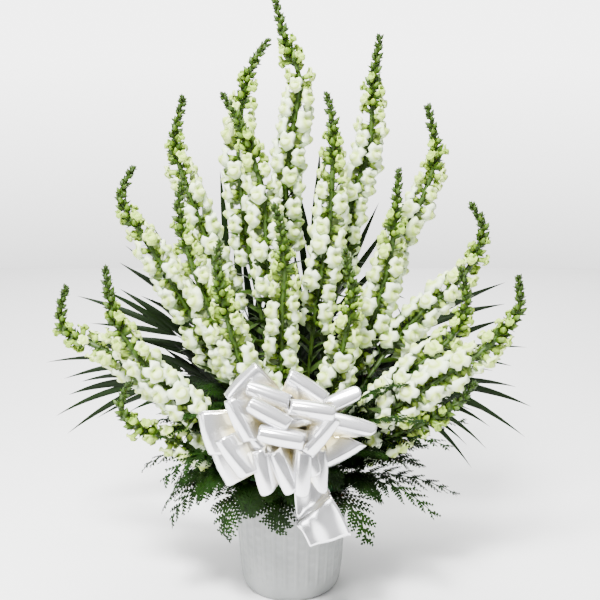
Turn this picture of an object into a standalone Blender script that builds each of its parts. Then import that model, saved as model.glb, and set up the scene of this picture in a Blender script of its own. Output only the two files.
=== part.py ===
"""A florist's arrangement of white snapdragons in a white basket-weave pot, with palm and fern and a satin bow.

The frame is +Z up, with the origin at the middle of the pot's flat base. The arrangement faces -Y, and +X is to
the right of someone who looks at its front. Sizes are metres, and the flower table is in millimetres.
"""

import math

import bmesh
import bpy
import numpy as np
from mathutils import Matrix, Vector

MM = 0.001
UP = Vector((0, 0, 1))

# The pot is a tapered plastic planter with upright staves, a rolled rim and a flat base.
POT_BASE_RADIUS = 0.0805
POT_RIM_RADIUS = 0.0965
POT_HEIGHT = 0.185
POT_WALL = 0.0032
POT_FLOOR = 0.004
POT_RIM_BAND = 0.012
POT_RIM_PROUD = 0.0028
POT_RIM_LEDGE = 0.001
POT_NECK_INSET = 0.0012
POT_BASE_BAND = 0.009
POT_BASE_INSET = 0.0035
POT_BASE_PROUD = 0.0025
POT_BELLY_HEIGHT = 0.0216
POT_BELLY_PROUD = 0.0055
POT_STAVES = 30
POT_LINES = 60
STAVE_RELIEF = 0.0016
SEAM_GAP = 0.00005

# Wet floral foam fills the pot and stands proud of its rim, so that low stems can go in from the side.
FOAM_CLEARANCE = 0.0012
FOAM_REST_GAP = 0.0003
FOAM_TOP = 0.240
FOAM_SHOULDER = 0.010
FOAM_TOP_RADIUS = 0.078
FOAM_BELOW_RIM = 0.006
FOAM_FLARE = 0.004
FOAM_FLARE_HEIGHT = 0.010
FOAM_SIDES = 20
HOLE_CLEARANCE = 0.0006
HOLE_PAST_ENTRY = 0.020

# The flowers stand in four rows. Each row leaves the foam at one depth and reaches its full depth higher up.
ROWS = {
    "back": (0.045, 0.132),
    "rear": (0.020, 0.066),
    "fore": (-0.006, 0.000),
    "front": (-0.031, -0.067),
}
ROW_SPREAD = 0.13

# Each flower stem: its row, the length that carries open florets in mm, and its route from the tip down to the
# cut end in the foam, as (x, z) in mm.
SPIKES = {
    "far_left": ("fore", 215, [
        (-370, 520), (-380, 480), (-370, 445), (-300, 410), (-220, 350), (-130, 272), (-42, 192)]),
    "low_left": ("front", 120, [
        (-260, 375), (-275, 340), (-255, 310), (-210, 283), (-150, 250), (-54, 200)]),
    "left_outer": ("front", 185, [
        (-290, 565), (-285, 520), (-270, 465), (-230, 405), (-155, 330), (-85, 268), (-24, 168)]),
    "left_tall": ("rear", 260, [
        (-265, 710), (-285, 660), (-252, 600), (-210, 530), (-150, 415), (-90, 305), (-36, 150)]),
    "left_inner": ("fore", 215, [
        (-175, 690), (-180, 655), (-170, 590), (-140, 500), (-105, 415), (-65, 325), (-21, 150)]),
    "left_upper": ("back", 265, [
        (-185, 825), (-200, 745), (-175, 655), (-145, 570), (-105, 455), (-62, 325), (-30, 150)]),
    "left_short": ("front", 170, [
        (-110, 605), (-115, 575), (-108, 520), (-85, 430), (-60, 350), (-35, 280), (-8, 150)]),
    "dark_tip": ("rear", 240, [
        (-110, 830), (-80, 775), (-60, 720), (-45, 660), (-40, 555), (-25, 415), (-12, 150)]),
    "hooked_tip": ("back", 255, [
        (-40, 920), (-70, 870), (-85, 805), (-90, 705), (-75, 565), (-50, 420), (-12, 150)]),
    "tallest": ("back", 290, [
        (-25, 985), (-10, 920), (15, 855), (3, 770), (-10, 650), (-6, 475), (4, 150)]),
    "middle": ("fore", 210, [
        (-25, 655), (-15, 615), (-10, 550), (-15, 465), (-15, 380), (-10, 295), (-2, 150)]),
    "right_middle": ("rear", 265, [
        (60, 830), (70, 785), (70, 715), (65, 615), (45, 485), (30, 360), (10, 150)]),
    "right_upper": ("back", 290, [
        (150, 925), (140, 845), (135, 740), (105, 645), (85, 510), (55, 360), (20, 150)]),
    "right_short": ("fore", 180, [
        (90, 580), (95, 550), (103, 515), (90, 435), (72, 355), (43, 272), (14, 150)]),
    "right_tall": ("rear", 225, [
        (180, 705), (175, 615), (165, 540), (140, 450), (105, 360), (68, 270), (28, 150)]),
    "right_curved": ("back", 265, [
        (235, 810), (250, 735), (230, 655), (195, 595), (160, 490), (95, 345), (38, 150)]),
    "right_bent": ("rear", 200, [
        (305, 650), (325, 605), (295, 530), (230, 470), (170, 400), (95, 300), (46, 168)]),
    "right_leaning": ("fore", 215, [
        (280, 550), (290, 495), (265, 435), (205, 380), (140, 315), (80, 244), (32, 172)]),
    "far_right": ("front", 215, [
        (360, 550), (360, 495), (310, 435), (240, 385), (160, 328), (90, 268), (16, 180)]),
    "low_right": ("front", 130, [
        (296, 378), (265, 340), (200, 300), (125, 257), (57, 212)]),
}
STEM_CUT_RADIUS = 0.0028
STEM_TIP_RADIUS = 0.0013
STEM_POINTS = 9
STEM_TAPER = 2.2
STRAIGHT_RUN = 0.11
STRAIGHT_RUN_SLACK = 1.15

# A floret's rim as (sideways, towards the tip, outwards) from the stem, in mm, round from the notch between its two
# upper lobes: upper lobe, side, lower lip, side, upper lobe. The closed throat swells out between them.
FLORET_RIM = [(0, 12, 25), (15, 19, 20), (16, -8, 21), (0, -23, 19), (-16, -8, 21), (-15, 19, 20)]
FLORET_THROAT = (0, -2, 29)
FLORET_NECK_RADIUS = 2.4
FLORET_NECK_OUT = 4.2
FLORET_SPACING = 0.0205
FLORET_FIRST = 0.3
FLORET_FEWEST = 3
FLORET_SMALLEST = 0.78
FLORET_GROWTH = 0.24
GOLDEN_TURN = math.radians(137.5)
STEM_TO_STEM_TURN = 1.7
BUD_ZONE = 0.088
BUD_SPREAD = 0.86
BUD_START = 0.002
BUD_COUNT = 5
BUD_WIDTH = 3.2
BUD_WIDTH_GAIN = 3.3
BUD_LENGTH = 8.0
BUD_LENGTH_GAIN = 4.0
BUD_SEATING = 0.82
GREEN_BUDS = 0.6

# Each palm frond: where its stalk leaves the foam, in mm across, then its tip as (x, z) in mm, how far its middle
# bows above the straight line to the tip, in mm, and which of two planes behind the flowers it lies in.
PALMS = {
    "palm_left_high": (-14, (-298, 569), 12, 0),
    "palm_left_wide": (-21, (-395, 469), 28, 1),
    "palm_left_level": (-28, (-453, 355), 40, 0),
    "palm_left_low": (-35, (-448, 235), 60, 1),
    "palm_top_left": (-7, (-173, 706), -8, 1),
    "palm_top": (0, (51, 738), -6, 0),
    "palm_top_right": (7, (160, 640), 8, 1),
    "palm_right_high": (14, (390, 501), 24, 0),
    "palm_right_wide": (21, (440, 375), 38, 1),
    "palm_right_level": (28, (449, 262), 52, 0),
    "palm_right_low": (35, (372, 172), 60, 1),
}
PALM_ROOT_DEPTH = 0.060
PALM_PLANES = (0.176, 0.196)
PALM_LEAN_START = 0.24
PALM_BACKWARD_BEND = 0.10
PALM_STALK_HALF_WIDTH = 0.0016
PALM_PAIRS = 4
PALM_LEAFLETS_FROM = 0.47
PALM_LEAFLETS_TO = 0.86
PALM_LONGEST_AT = 0.35
PALM_SHORTENING = 0.30
PALM_TIP_FROM = 0.88
PALM_TIP_WIDTH = 0.8
PALM_UPRIGHT_RUN = 0.10
PALM_DEPTH_RUN = 0.17
PALM_STALK_STEPS = 4
PALM_LEAFLET_LENGTH = 0.112
PALM_LEAFLET_HALF_WIDTH = 0.0085
PALM_LEAFLET_ANGLE = math.radians(36)
BLADE_THICKNESS = 0.0009
LEAFLET_WIDEST_AT = 0.42
TIP_WIDEST_AT = 0.4
STALK_SINK = 0.036

# Each fern frond: its heading in degrees, from 0 at the front round to 90 at the right, then the rise of its stalk
# and how far it bends down by the tip, in degrees, and its length and half width in mm.
FERNS = {
    "fern_front": (-8, 16, 118, 112, 30),
    "fern_front_left": (-40, 12, 112, 135, 33),
    "fern_left_front": (-64, 20, 88, 175, 36),
    "fern_left": (-90, 8, 70, 175, 36),
    "fern_left_back": (-116, 20, 80, 170, 38),
    "fern_back_left": (-148, 13, 80, 165, 40),
    "fern_back": (180, 18, 85, 165, 40),
    "fern_back_right": (148, 13, 80, 165, 40),
    "fern_right_back": (116, 20, 72, 185, 38),
    "fern_right": (90, 8, 38, 225, 38),
    "fern_right_front": (64, 20, 62, 205, 36),
    "fern_front_right": (38, 12, 82, 155, 33),
}
FERN_ROOT_RADIUS = 0.066
FERN_ROOT_HEIGHT = 0.1885
FERN_STALK = 0.040
FERN_STALK_HALF_WIDTH = 0.0016
FERN_PAIRS = 5
FERN_TIP_SHARE = 0.6
FERN_NARROWING = 0.80
FERN_NARROWING_POWER = 1.3
FERN_FIRST_PINNA = 0.82
FERN_PINNA_LEAN = 0.62
FERN_PINNA_WIDTH = 0.34
FERN_TIP_WIDTH = 0.16
FERN_BARE_STALK = 0.7
FERN_HOLE_REACH = 0.018
FERN_CUP = 1.4

# The bow is one satin ribbon, gathered into loops at a knot and wired to a pick. Each loop: the middle of its fold
# as (x, y, z) in mm, and the slope of the fold line in degrees.
RIBBON_WIDTH = 0.068
RIBBON_THICKNESS = 0.0010
LOOP_BEND_RADIUS = 0.0125
LOOP_ROOT_HALF_WIDTH = 0.004
KNOT = Vector((0.0, -0.114, 0.318))
KNOT_RADIUS = 0.013
KNOT_LENGTH = 0.024
KNOT_SIDES = 8
LOOPS = [
    ((-79, -142, 411), 46),
    ((-33, -182, 402), -19),
    ((-31, -222, 380), -29),
    ((-81, -205, 363), -66),
    ((31, -160, 410), -33),
    ((36, -202, 383), -9),
    ((-13, -234, 346), -11),
    ((-91, -215, 305), -56),
    ((-46, -215, 282), -78),
    ((-13, -215, 282), -68),
    ((22, -215, 280), -93),
    ((55, -168, 266), -88),
    ((52, -206, 338), -128),
    ((102, -165, 346), -14),
    ((80, -140, 377), 24),
    ((92, -145, 282), 30),
    ((-138, -134, 318), -76),
    ((-116, -124, 257), -66),
]
TAIL_ROUTE = [
    (Vector((0.004, -0.118, 0.314)), Vector((0.006, 0.0, 0.0))),
    (Vector((0.018, -0.128, 0.296)), Vector((0.012, 0.0, 0.002))),
    (Vector((0.030, -0.137, 0.238)), Vector((0.024, 0.0, 0.006))),
    (Vector((0.036, -0.146, 0.205)), Vector((0.026, 0.0, 0.022))),
    (Vector((0.037, -0.158, 0.199)), Vector((0.027, 0.0, 0.024))),
    (Vector((0.048, -0.163, 0.186)), Vector((0.029, 0.0, 0.018))),
    (Vector((0.063, -0.160, 0.156)), Vector((0.032, 0.0, 0.010))),
]
PICK_RADIUS = 0.0017
PICK_SIDES = 6
PICK_HOLE_REACH = 0.045
PICK_END = Vector((0.004, -0.050, 0.196))
PICK_GAP = 0.0003

COLOURS = {
    "pot_white": ((0.74, 0.76, 0.75), 0.55),
    "foam_green": ((0.05, 0.16, 0.07), 0.95),
    "petal_white": ((0.90, 0.91, 0.84), 0.60),
    "stem_green": ((0.16, 0.33, 0.07), 0.55),
    "palm_green": ((0.03, 0.12, 0.03), 0.45),
    "fern_green": ((0.04, 0.16, 0.03), 0.50),
    "satin_white": ((0.93, 0.93, 0.90), 0.30),
    "pick_wood": ((0.42, 0.28, 0.14), 0.75),
}


def clear_scene():
    for thing in list(bpy.data.objects):
        bpy.data.objects.remove(thing, do_unlink=True)


def new_collection(name, helper=False):
    collection = bpy.data.collections.new(name)
    bpy.context.scene.collection.children.link(collection)
    collection.hide_render = helper
    return collection


def make_material(name):
    colour, roughness = COLOURS[name]
    material = bpy.data.materials.new(name)
    material.use_nodes = True
    shader = material.node_tree.nodes["Principled BSDF"]
    shader.inputs["Base Color"].default_value = (*colour, 1.0)
    shader.inputs["Roughness"].default_value = roughness
    shader.inputs["Metallic"].default_value = 0.0
    material.diffuse_color = (*colour, 1.0)
    return material


def add_object(name, mesh, collection, material=None):
    thing = bpy.data.objects.new(name, mesh)
    collection.objects.link(thing)
    if material is not None:
        mesh.materials.append(material)
    return thing


def add_bmesh(name, shape, collection, material=None):
    mesh = bpy.data.meshes.new(name)
    shape.to_mesh(mesh)
    shape.free()
    return add_object(name, mesh, collection, material)


def applied(thing):
    """Replace the object's mesh with the result of its modifiers."""
    bpy.context.view_layer.update()
    graph = bpy.context.evaluated_depsgraph_get()
    mesh = bpy.data.meshes.new_from_object(thing.evaluated_get(graph), depsgraph=graph)
    thing.modifiers.clear()
    thing.data = mesh
    return thing


def face_outwards(mesh):
    shape = bmesh.new()
    shape.from_mesh(mesh)
    bmesh.ops.recalc_face_normals(shape, faces=shape.faces)
    shape.to_mesh(mesh)
    shape.free()


def cut_or_join(thing, tools, operation, solver="EXACT"):
    """Boolean every object of a collection into one object, apply it and remove those objects."""
    modifier = thing.modifiers.new("join", "BOOLEAN")
    modifier.operand_type = "COLLECTION"
    modifier.collection = tools
    modifier.operation = operation
    modifier.solver = solver
    if solver == "EXACT":
        modifier.material_mode = "TRANSFER"
    applied(thing)
    for tool in list(tools.objects):
        bpy.data.objects.remove(tool, do_unlink=True)
    return thing


def smooth_route(points, count):
    """Even points along a Catmull-Rom curve through the given ones."""
    ends = [points[0] * 2 - points[1]] + points + [points[-1] * 2 - points[-2]]
    fine = []
    for a, b, c, d in zip(ends, ends[1:], ends[2:], ends[3:]):
        for step in range(12):
            t = step / 12
            fine.append(0.5 * ((2 * b) + (c - a) * t + (2 * a - 5 * b + 4 * c - d) * t * t
                               + (3 * b - a - 3 * c + d) * t ** 3))
    fine.append(points[-1])
    reach = [0.0]
    for a, b in zip(fine, fine[1:]):
        reach.append(reach[-1] + (b - a).length)
    wanted = np.linspace(0, reach[-1], count)
    columns = [np.interp(wanted, reach, [p[axis] for p in fine]) for axis in range(3)]
    return [Vector(p) for p in zip(*columns)]


def smoothstep(low, high, value):
    t = min(max((value - low) / (high - low), 0.0), 1.0)
    return t * t * (3 - 2 * t)


def tube_mesh(name, points, radii, collection, sides_resolution=0):
    """A tapered tube with filled ends, made as a curve and turned into a closed mesh."""
    curve = bpy.data.curves.new(name, "CURVE")
    curve.dimensions = "3D"
    curve.bevel_depth = 1.0
    curve.bevel_resolution = sides_resolution
    curve.use_fill_caps = True
    spline = curve.splines.new("POLY")
    spline.points.add(len(points) - 1)
    for point, place, radius in zip(spline.points, points, radii):
        point.co = (*place, 1.0)
        point.radius = radius
    holder = bpy.data.objects.new(name + "_curve", curve)
    collection.objects.link(holder)
    bpy.context.view_layer.update()
    graph = bpy.context.evaluated_depsgraph_get()
    mesh = bpy.data.meshes.new_from_object(holder.evaluated_get(graph), depsgraph=graph)
    bpy.data.objects.remove(holder, do_unlink=True)
    shape = bmesh.new()
    shape.from_mesh(mesh)
    bmesh.ops.remove_doubles(shape, verts=shape.verts, dist=1e-6)
    bmesh.ops.recalc_face_normals(shape, faces=shape.faces)
    shape.to_mesh(mesh)
    shape.free()
    return mesh


def turned(name, outline, steps, collection, material):
    """A closed solid, made by turning an outline of (radius, height) about the upright axis."""
    mesh = bpy.data.meshes.new(name)
    mesh.from_pydata([(r, 0.0, z) for r, z in outline], [(i, i + 1) for i in range(len(outline) - 1)], [])
    thing = add_object(name, mesh, collection)
    screw = thing.modifiers.new("turn", "SCREW")
    screw.angle = math.tau
    screw.steps = steps
    screw.render_steps = steps
    screw.use_merge_vertices = True
    screw.merge_threshold = SEAM_GAP
    applied(thing)
    face_outwards(thing.data)
    thing.data.materials.append(material)
    return thing


def pot(collection):
    """A turned planter, with every second upright line of its wall raised into a stave."""
    band_low = POT_HEIGHT - POT_RIM_BAND
    wall = [
        (POT_BASE_RADIUS + POT_BASE_PROUD, POT_BASE_BAND),
        (POT_BASE_RADIUS + POT_BELLY_PROUD, POT_BELLY_HEIGHT),
        (POT_RIM_RADIUS - POT_NECK_INSET, band_low),
    ]
    outline = [
        (0.0, 0.0), (POT_BASE_RADIUS - POT_BASE_INSET, 0.0), *wall,
        (POT_RIM_RADIUS + POT_RIM_PROUD, band_low + POT_RIM_LEDGE),
        (POT_RIM_RADIUS + POT_RIM_PROUD, POT_HEIGHT), (POT_RIM_RADIUS - POT_WALL, POT_HEIGHT),
        (POT_BASE_RADIUS - POT_WALL, POT_FLOOR), (0.0, POT_FLOOR),
    ]
    thing = turned("pot", outline, POT_LINES, collection, make_material("pot_white"))
    per_stave = POT_LINES // POT_STAVES
    for vertex in thing.data.vertices:
        x, y, z = vertex.co
        line = round(math.atan2(y, x) / math.tau * POT_LINES)
        on_wall = any(math.hypot(math.hypot(x, y) - r, z - height) < SEAM_GAP for r, height in wall)
        if on_wall and line % per_stave == 0:
            vertex.co += Vector((x, y, 0)).normalized() * STAVE_RELIEF
    return thing


def foam(collection):
    """The block of foam, before the stems' holes are cut."""
    floor = POT_FLOOR + FOAM_REST_GAP
    base = POT_BASE_RADIUS - POT_WALL - FOAM_CLEARANCE
    slope = (POT_RIM_RADIUS - POT_BASE_RADIUS) / POT_HEIGHT
    outline = [
        (0.0, floor), (base, floor), (base + slope * (POT_HEIGHT - floor), POT_HEIGHT - FOAM_BELOW_RIM),
        (FOAM_TOP_RADIUS + FOAM_FLARE, POT_HEIGHT + FOAM_FLARE_HEIGHT),
        (FOAM_TOP_RADIUS, FOAM_TOP - FOAM_SHOULDER), (FOAM_TOP_RADIUS - FOAM_SHOULDER, FOAM_TOP), (0.0, FOAM_TOP),
    ]
    return turned("foam", outline, FOAM_SIDES, collection, make_material("foam_green"))


def hole_cutter(end, entry, half_sizes, side, cutters):
    """A square-cornered cutter round a stalk that runs from its cut end in the foam out past its surface."""
    along = (entry - end).normalized()
    side = (side - along * side.dot(along)).normalized()
    third = along.cross(side)
    start = end - along * HOLE_CLEARANCE
    finish = entry + along * HOLE_PAST_ENTRY
    shape = bmesh.new()
    bmesh.ops.create_cube(shape, size=1.0)
    for corner in shape.verts:
        a, b, c = corner.co * 2
        place = start.lerp(finish, (c + 1) / 2)
        corner.co = place + side * a * half_sizes[0] + third * b * half_sizes[1]
    cutter = add_bmesh("hole", shape, cutters)
    cutter.display_type = "WIRE"
    return cutter


def stem_route(row, route):
    """The stem's points from the tip down to the foam, and its cut end."""
    root_depth, full_depth = ROWS[row]
    flat = [Vector((x * MM, 0.0, z * MM)) for x, z in route]
    last_run = flat[-2] - flat[-1]
    if last_run.length > STRAIGHT_RUN * STRAIGHT_RUN_SLACK:
        flat.insert(-1, flat[-1] + last_run.normalized() * STRAIGHT_RUN)
    reach = [0.0]
    for a, b in zip(flat[-2::-1], flat[-3::-1]):
        reach.append(reach[-1] + (a - b).length)
    reach.reverse()
    points = []
    for place, distance in zip(flat, reach + [0.0]):
        share = smoothstep(0.0, ROW_SPREAD, distance)
        points.append(place + Vector((0, root_depth + (full_depth - root_depth) * share, 0)))
    return points[:-1], points[-1]


def floret_mesh():
    """One closed floret: it starts at a point inside the stem and widens through a neck to its lobed rim."""
    shape = bmesh.new()
    root = shape.verts.new((0, 0, 0))
    neck = []
    for corner in range(3):
        angle = math.tau * corner / 3 + math.pi / 2
        across, along = FLORET_NECK_RADIUS * math.cos(angle), FLORET_NECK_RADIUS * math.sin(angle)
        neck.append(shape.verts.new((across * MM, along * MM, FLORET_NECK_OUT * MM)))
    rim = [shape.verts.new([v * MM for v in point]) for point in FLORET_RIM]
    throat = shape.verts.new([v * MM for v in FLORET_THROAT])
    for i in range(6):
        shape.faces.new((rim[i], rim[(i + 1) % 6], throat))
    # The rim runs clockwise from the top, while the neck runs the other way: top, left, right.
    top, left, right = neck
    for corner, rim_side in ((top, 0), (right, 1), (right, 2), (left, 3), (left, 4), (top, 5)):
        shape.faces.new((corner, rim[rim_side], rim[(rim_side + 1) % 6]))
    shape.faces.new((top, right, rim[1]))
    shape.faces.new((right, left, rim[3]))
    shape.faces.new((left, top, rim[5]))
    for a, b in ((top, left), (left, right), (right, top)):
        shape.faces.new((root, a, b))
    bmesh.ops.recalc_face_normals(shape, faces=shape.faces)
    return shape


def place_on_stem(mesh, centre, along, outward, size):
    """Turn a mesh that is modelled as (sideways, along the stem, outward) to a place on a stem."""
    side = along.cross(outward)
    turn = Matrix((side * size, along * size, outward * size)).transposed().to_4x4()
    mesh.transform(Matrix.Translation(centre) @ turn)


def snapdragon(number, name, row, open_length, route, collection, joined, cutters):
    """One spike: its stem, the buds at its tip and its open florets, fused into one solid."""
    points, cut_end = stem_route(row, route)
    smooth = smooth_route(points, STEM_POINTS)
    line = smooth + [cut_end]
    radii = [STEM_TIP_RADIUS + (STEM_CUT_RADIUS - STEM_TIP_RADIUS) * min(1.0, STEM_TAPER * i / STEM_POINTS)
             for i in range(len(line))]
    mesh = tube_mesh(name, line, radii, collection)
    spike = add_object("snapdragon_" + name, mesh, collection, make_material("stem_green"))
    petal = make_material("petal_white")
    reach = [0.0]
    for a, b in zip(smooth, smooth[1:]):
        reach.append(reach[-1] + (b - a).length)

    def frame_at(distance, turn):
        place = min(max(int(np.searchsorted(reach, distance)), 1), len(smooth) - 1)
        share = (distance - reach[place - 1]) / (reach[place] - reach[place - 1])
        along = (smooth[place - 1] - smooth[place]).normalized()
        across = along.cross(Vector((0.0, 1.0, 0.0))).normalized()
        outward = Matrix.Rotation(turn, 3, along) @ across
        return smooth[place - 1].lerp(smooth[place], share), along, outward

    for index in range(BUD_COUNT):
        share = index / (BUD_COUNT - 1)
        distance = BUD_START + share * BUD_ZONE * BUD_SPREAD
        centre, along, outward = frame_at(distance, index * GOLDEN_TURN + number)
        shape = bmesh.new()
        bmesh.ops.create_uvsphere(shape, u_segments=4, v_segments=2, radius=1.0)
        width = (BUD_WIDTH + BUD_WIDTH_GAIN * share) * MM
        length = (BUD_LENGTH + BUD_LENGTH_GAIN * share) * MM
        bmesh.ops.scale(shape, verts=shape.verts, vec=(width, width, length))
        bud = add_bmesh("bud", shape, joined, petal if share > GREEN_BUDS else spike.data.materials[0])
        lean = (along * (1.0 - 0.55 * share) + outward * (0.15 + 0.85 * share)).normalized()
        turn = lean.to_track_quat("Z", "Y").to_matrix().to_4x4()
        bud.data.transform(Matrix.Translation(centre + lean * length * BUD_SEATING) @ turn)
    count = max(FLORET_FEWEST, round(open_length * MM / FLORET_SPACING))
    for index in range(count):
        distance = BUD_ZONE + (index + FLORET_FIRST) * open_length * MM / count
        centre, along, outward = frame_at(distance, index * GOLDEN_TURN + number * STEM_TO_STEM_TURN)
        floret = add_bmesh("floret", floret_mesh(), joined, petal)
        size = FLORET_SMALLEST + FLORET_GROWTH * min(1.0, 3.0 * index / count)
        place_on_stem(floret.data, centre, along, outward, size)
    cut_or_join(spike, joined, "UNION")
    half = STEM_CUT_RADIUS + HOLE_CLEARANCE / 2
    hole_cutter(cut_end, smooth[-1], (half, half), Vector((0, 1, 0)), cutters)
    return spike


def frond_mesh(name, stations, half, leaflets, terminal, collection, material):
    """A flat frond with x along its rib and y across it: a narrow rib, leaflets on both sides and a last one.

    The stations are the rib's places below its leaflets. Each leaflet is (root, tip along, tip across, half width),
    and the last is (root, half width, tip).
    """
    shape = bmesh.new()
    last_root, last_half, tip = terminal
    places = list(stations) + [leaflet[0] for leaflet in leaflets] + [last_root]
    sides = {sign: [shape.verts.new((u, sign * half, 0)) for u in places] for sign in (1, -1)}
    for i in range(len(places) - 1):
        shape.faces.new((sides[-1][i], sides[-1][i + 1], sides[1][i + 1], sides[1][i]))
    for i, (root, tip_along, tip_across, leaf_half) in enumerate(leaflets, start=len(stations)):
        lean = math.hypot(tip_along - root, tip_across)
        step_along, step_across = (tip_along - root) / lean, tip_across / lean
        middle_along = root + LEAFLET_WIDEST_AT * (tip_along - root)
        middle_across = LEAFLET_WIDEST_AT * tip_across
        for sign in (1, -1):
            outer = shape.verts.new((middle_along - leaf_half * step_across,
                                     sign * (middle_across + leaf_half * step_along), 0))
            inner = shape.verts.new((middle_along + leaf_half * step_across,
                                     sign * (middle_across - leaf_half * step_along), 0))
            point = shape.verts.new((tip_along, sign * tip_across, 0))
            low, high = sides[sign][i], sides[sign][i + 1]
            for corners in ((low, inner, outer), (outer, inner, point), (low, high, inner)):
                shape.faces.new(corners if sign > 0 else corners[::-1])
    widest = last_root + TIP_WIDEST_AT * (tip - last_root)
    wide = [shape.verts.new((widest, sign * last_half, 0)) for sign in (-1, 1)]
    shape.faces.new((sides[-1][-1], wide[0], wide[1], sides[1][-1]))
    shape.faces.new((wide[0], shape.verts.new((tip, 0, 0)), wide[1]))
    bmesh.ops.triangulate(shape, faces=shape.faces)
    return add_bmesh(name, shape, collection, material)


def thicken(thing):
    solid = thing.modifiers.new("thickness", "SOLIDIFY")
    solid.thickness = BLADE_THICKNESS
    solid.offset = 0.0
    return applied(thing)


def fern(name, heading, rise, droop, length, half_width, collection, cutters):
    """A leatherleaf frond: a bare stalk that leaves the foam over the rim, then an arching toothed blade."""
    heading, rise, droop = math.radians(heading), math.radians(rise), math.radians(droop)
    length *= MM
    half_width *= MM
    away = Vector((math.sin(heading), -math.cos(heading), 0.0))
    side = Vector((math.cos(heading), math.sin(heading), 0.0))
    root = away * FERN_ROOT_RADIUS + Vector((0, 0, FERN_ROOT_HEIGHT))
    spacing = (length - FERN_STALK) / (FERN_PAIRS + FERN_TIP_SHARE)
    leaflets = []
    for pair in range(FERN_PAIRS):
        share = pair / FERN_PAIRS
        across = half_width * (1.0 - FERN_NARROWING * share ** FERN_NARROWING_POWER)
        across *= FERN_FIRST_PINNA if pair == 0 else 1.0
        base = FERN_STALK + spacing * pair
        leaflets.append((base, base + across * FERN_PINNA_LEAN, across, spacing * FERN_PINNA_WIDTH))
    terminal = (FERN_STALK + spacing * FERN_PAIRS, half_width * FERN_TIP_WIDTH, length)
    stalk = (0.0, FERN_BARE_STALK * FERN_STALK)
    blade = frond_mesh(name, stalk, FERN_STALK_HALF_WIDTH, leaflets, terminal, collection,
                       make_material("fern_green"))
    for vertex in blade.data.vertices:
        along, across, _ = vertex.co
        bend = max(along - FERN_STALK, 0.0)
        curve = droop / (length - FERN_STALK)
        angle = rise - curve * bend
        if bend > 0.0 and droop > 0.0:
            out = (math.sin(rise) - math.sin(angle)) / curve
            up = (math.cos(angle) - math.cos(rise)) / curve
            place = away * (FERN_STALK * math.cos(rise) + out) + UP * (FERN_STALK * math.sin(rise) + up)
        else:
            place = away * (along * math.cos(rise)) + UP * (along * math.sin(rise))
        normal = away * -math.sin(angle) + UP * math.cos(angle)
        vertex.co = root + place + side * across - normal * FERN_CUP * across * across
    thicken(blade)
    entry = root + (away * math.cos(rise) + UP * math.sin(rise)) * FERN_HOLE_REACH
    half_sizes = (FERN_STALK_HALF_WIDTH + HOLE_CLEARANCE, BLADE_THICKNESS / 2 + HOLE_CLEARANCE)
    hole_cutter(root, entry, half_sizes, side, cutters)
    return blade


def palm(name, across_mm, tip_mm, bow_mm, plane, collection, cutters):
    """A palm frond behind the flowers: narrow leaflets on both sides of a slender rib, all one thin blade."""
    top = Vector((across_mm * MM, PALM_ROOT_DEPTH, FOAM_TOP))
    root = top - UP * STALK_SINK
    tip = Vector((tip_mm[0] * MM, 0.0, tip_mm[1] * MM))
    run = Vector((tip.x - top.x, 0.0, tip.z - top.z))
    length = run.length
    ahead = run / length
    side = Vector((-ahead.z, 0.0, ahead.x))
    bow = bow_mm * MM * (-1 if ahead.x < 0 else 1)
    leaflets = []
    for pair in range(PALM_PAIRS):
        share = pair / PALM_PAIRS
        base = length * (PALM_LEAFLETS_FROM + (PALM_LEAFLETS_TO - PALM_LEAFLETS_FROM) * share)
        reach = PALM_LEAFLET_LENGTH * (1.0 - PALM_SHORTENING * abs(share - PALM_LONGEST_AT))
        tip_along = base + reach * math.cos(PALM_LEAFLET_ANGLE)
        tip_across = reach * math.sin(PALM_LEAFLET_ANGLE)
        leaflets.append((base, tip_along, tip_across, PALM_LEAFLET_HALF_WIDTH))
    stalk = [length * PALM_LEAFLETS_FROM * step / PALM_STALK_STEPS for step in range(PALM_STALK_STEPS)]
    stalk.insert(0, -STALK_SINK)
    terminal = (length * PALM_TIP_FROM, PALM_LEAFLET_HALF_WIDTH * PALM_TIP_WIDTH, length)
    blade = frond_mesh(name, stalk, PALM_STALK_HALF_WIDTH, leaflets, terminal, collection,
                       make_material("palm_green"))
    for vertex in blade.data.vertices:
        along, across, _ = vertex.co
        share = max(along, 0.0) / length
        inside = min(along, 0.0)
        turn = smoothstep(0.0, PALM_UPRIGHT_RUN, max(along, 0.0))
        arch = 4 * bow * share * (1 - share)
        direction = UP.lerp(ahead, turn).normalized()
        across_to = Vector((-direction.z, 0.0, direction.x))
        place = top + ahead * max(along, 0.0) + side * arch + across_to * across + UP * inside
        depth = PALM_ROOT_DEPTH + (PALM_PLANES[plane] - PALM_ROOT_DEPTH) * smoothstep(0.0, PALM_DEPTH_RUN, along)
        depth += PALM_BACKWARD_BEND * max(along - PALM_LEAN_START, 0.0) ** 2
        vertex.co = (place.x, depth, place.z)
    thicken(blade)
    half_sizes = (PALM_STALK_HALF_WIDTH + HOLE_CLEARANCE, BLADE_THICKNESS / 2 + HOLE_CLEARANCE)
    hole_cutter(root, top, half_sizes, Vector((1, 0, 0)), cutters)
    return blade


def ribbon_band(stations, name, collection, material):
    """A ribbon through stations of (middle, half width as a vector), thickened to a closed band."""
    shape = bmesh.new()
    rows = [(shape.verts.new(middle - half), shape.verts.new(middle + half)) for middle, half in stations]
    for (a, b), (c, d) in zip(rows, rows[1:]):
        shape.faces.new((a, b, d))
        shape.faces.new((a, d, c))
    band = add_bmesh(name, shape, collection, material)
    solid = band.modifiers.new("thickness", "SOLIDIFY")
    solid.thickness = RIBBON_THICKNESS
    solid.offset = 0.0
    return applied(band)


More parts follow.
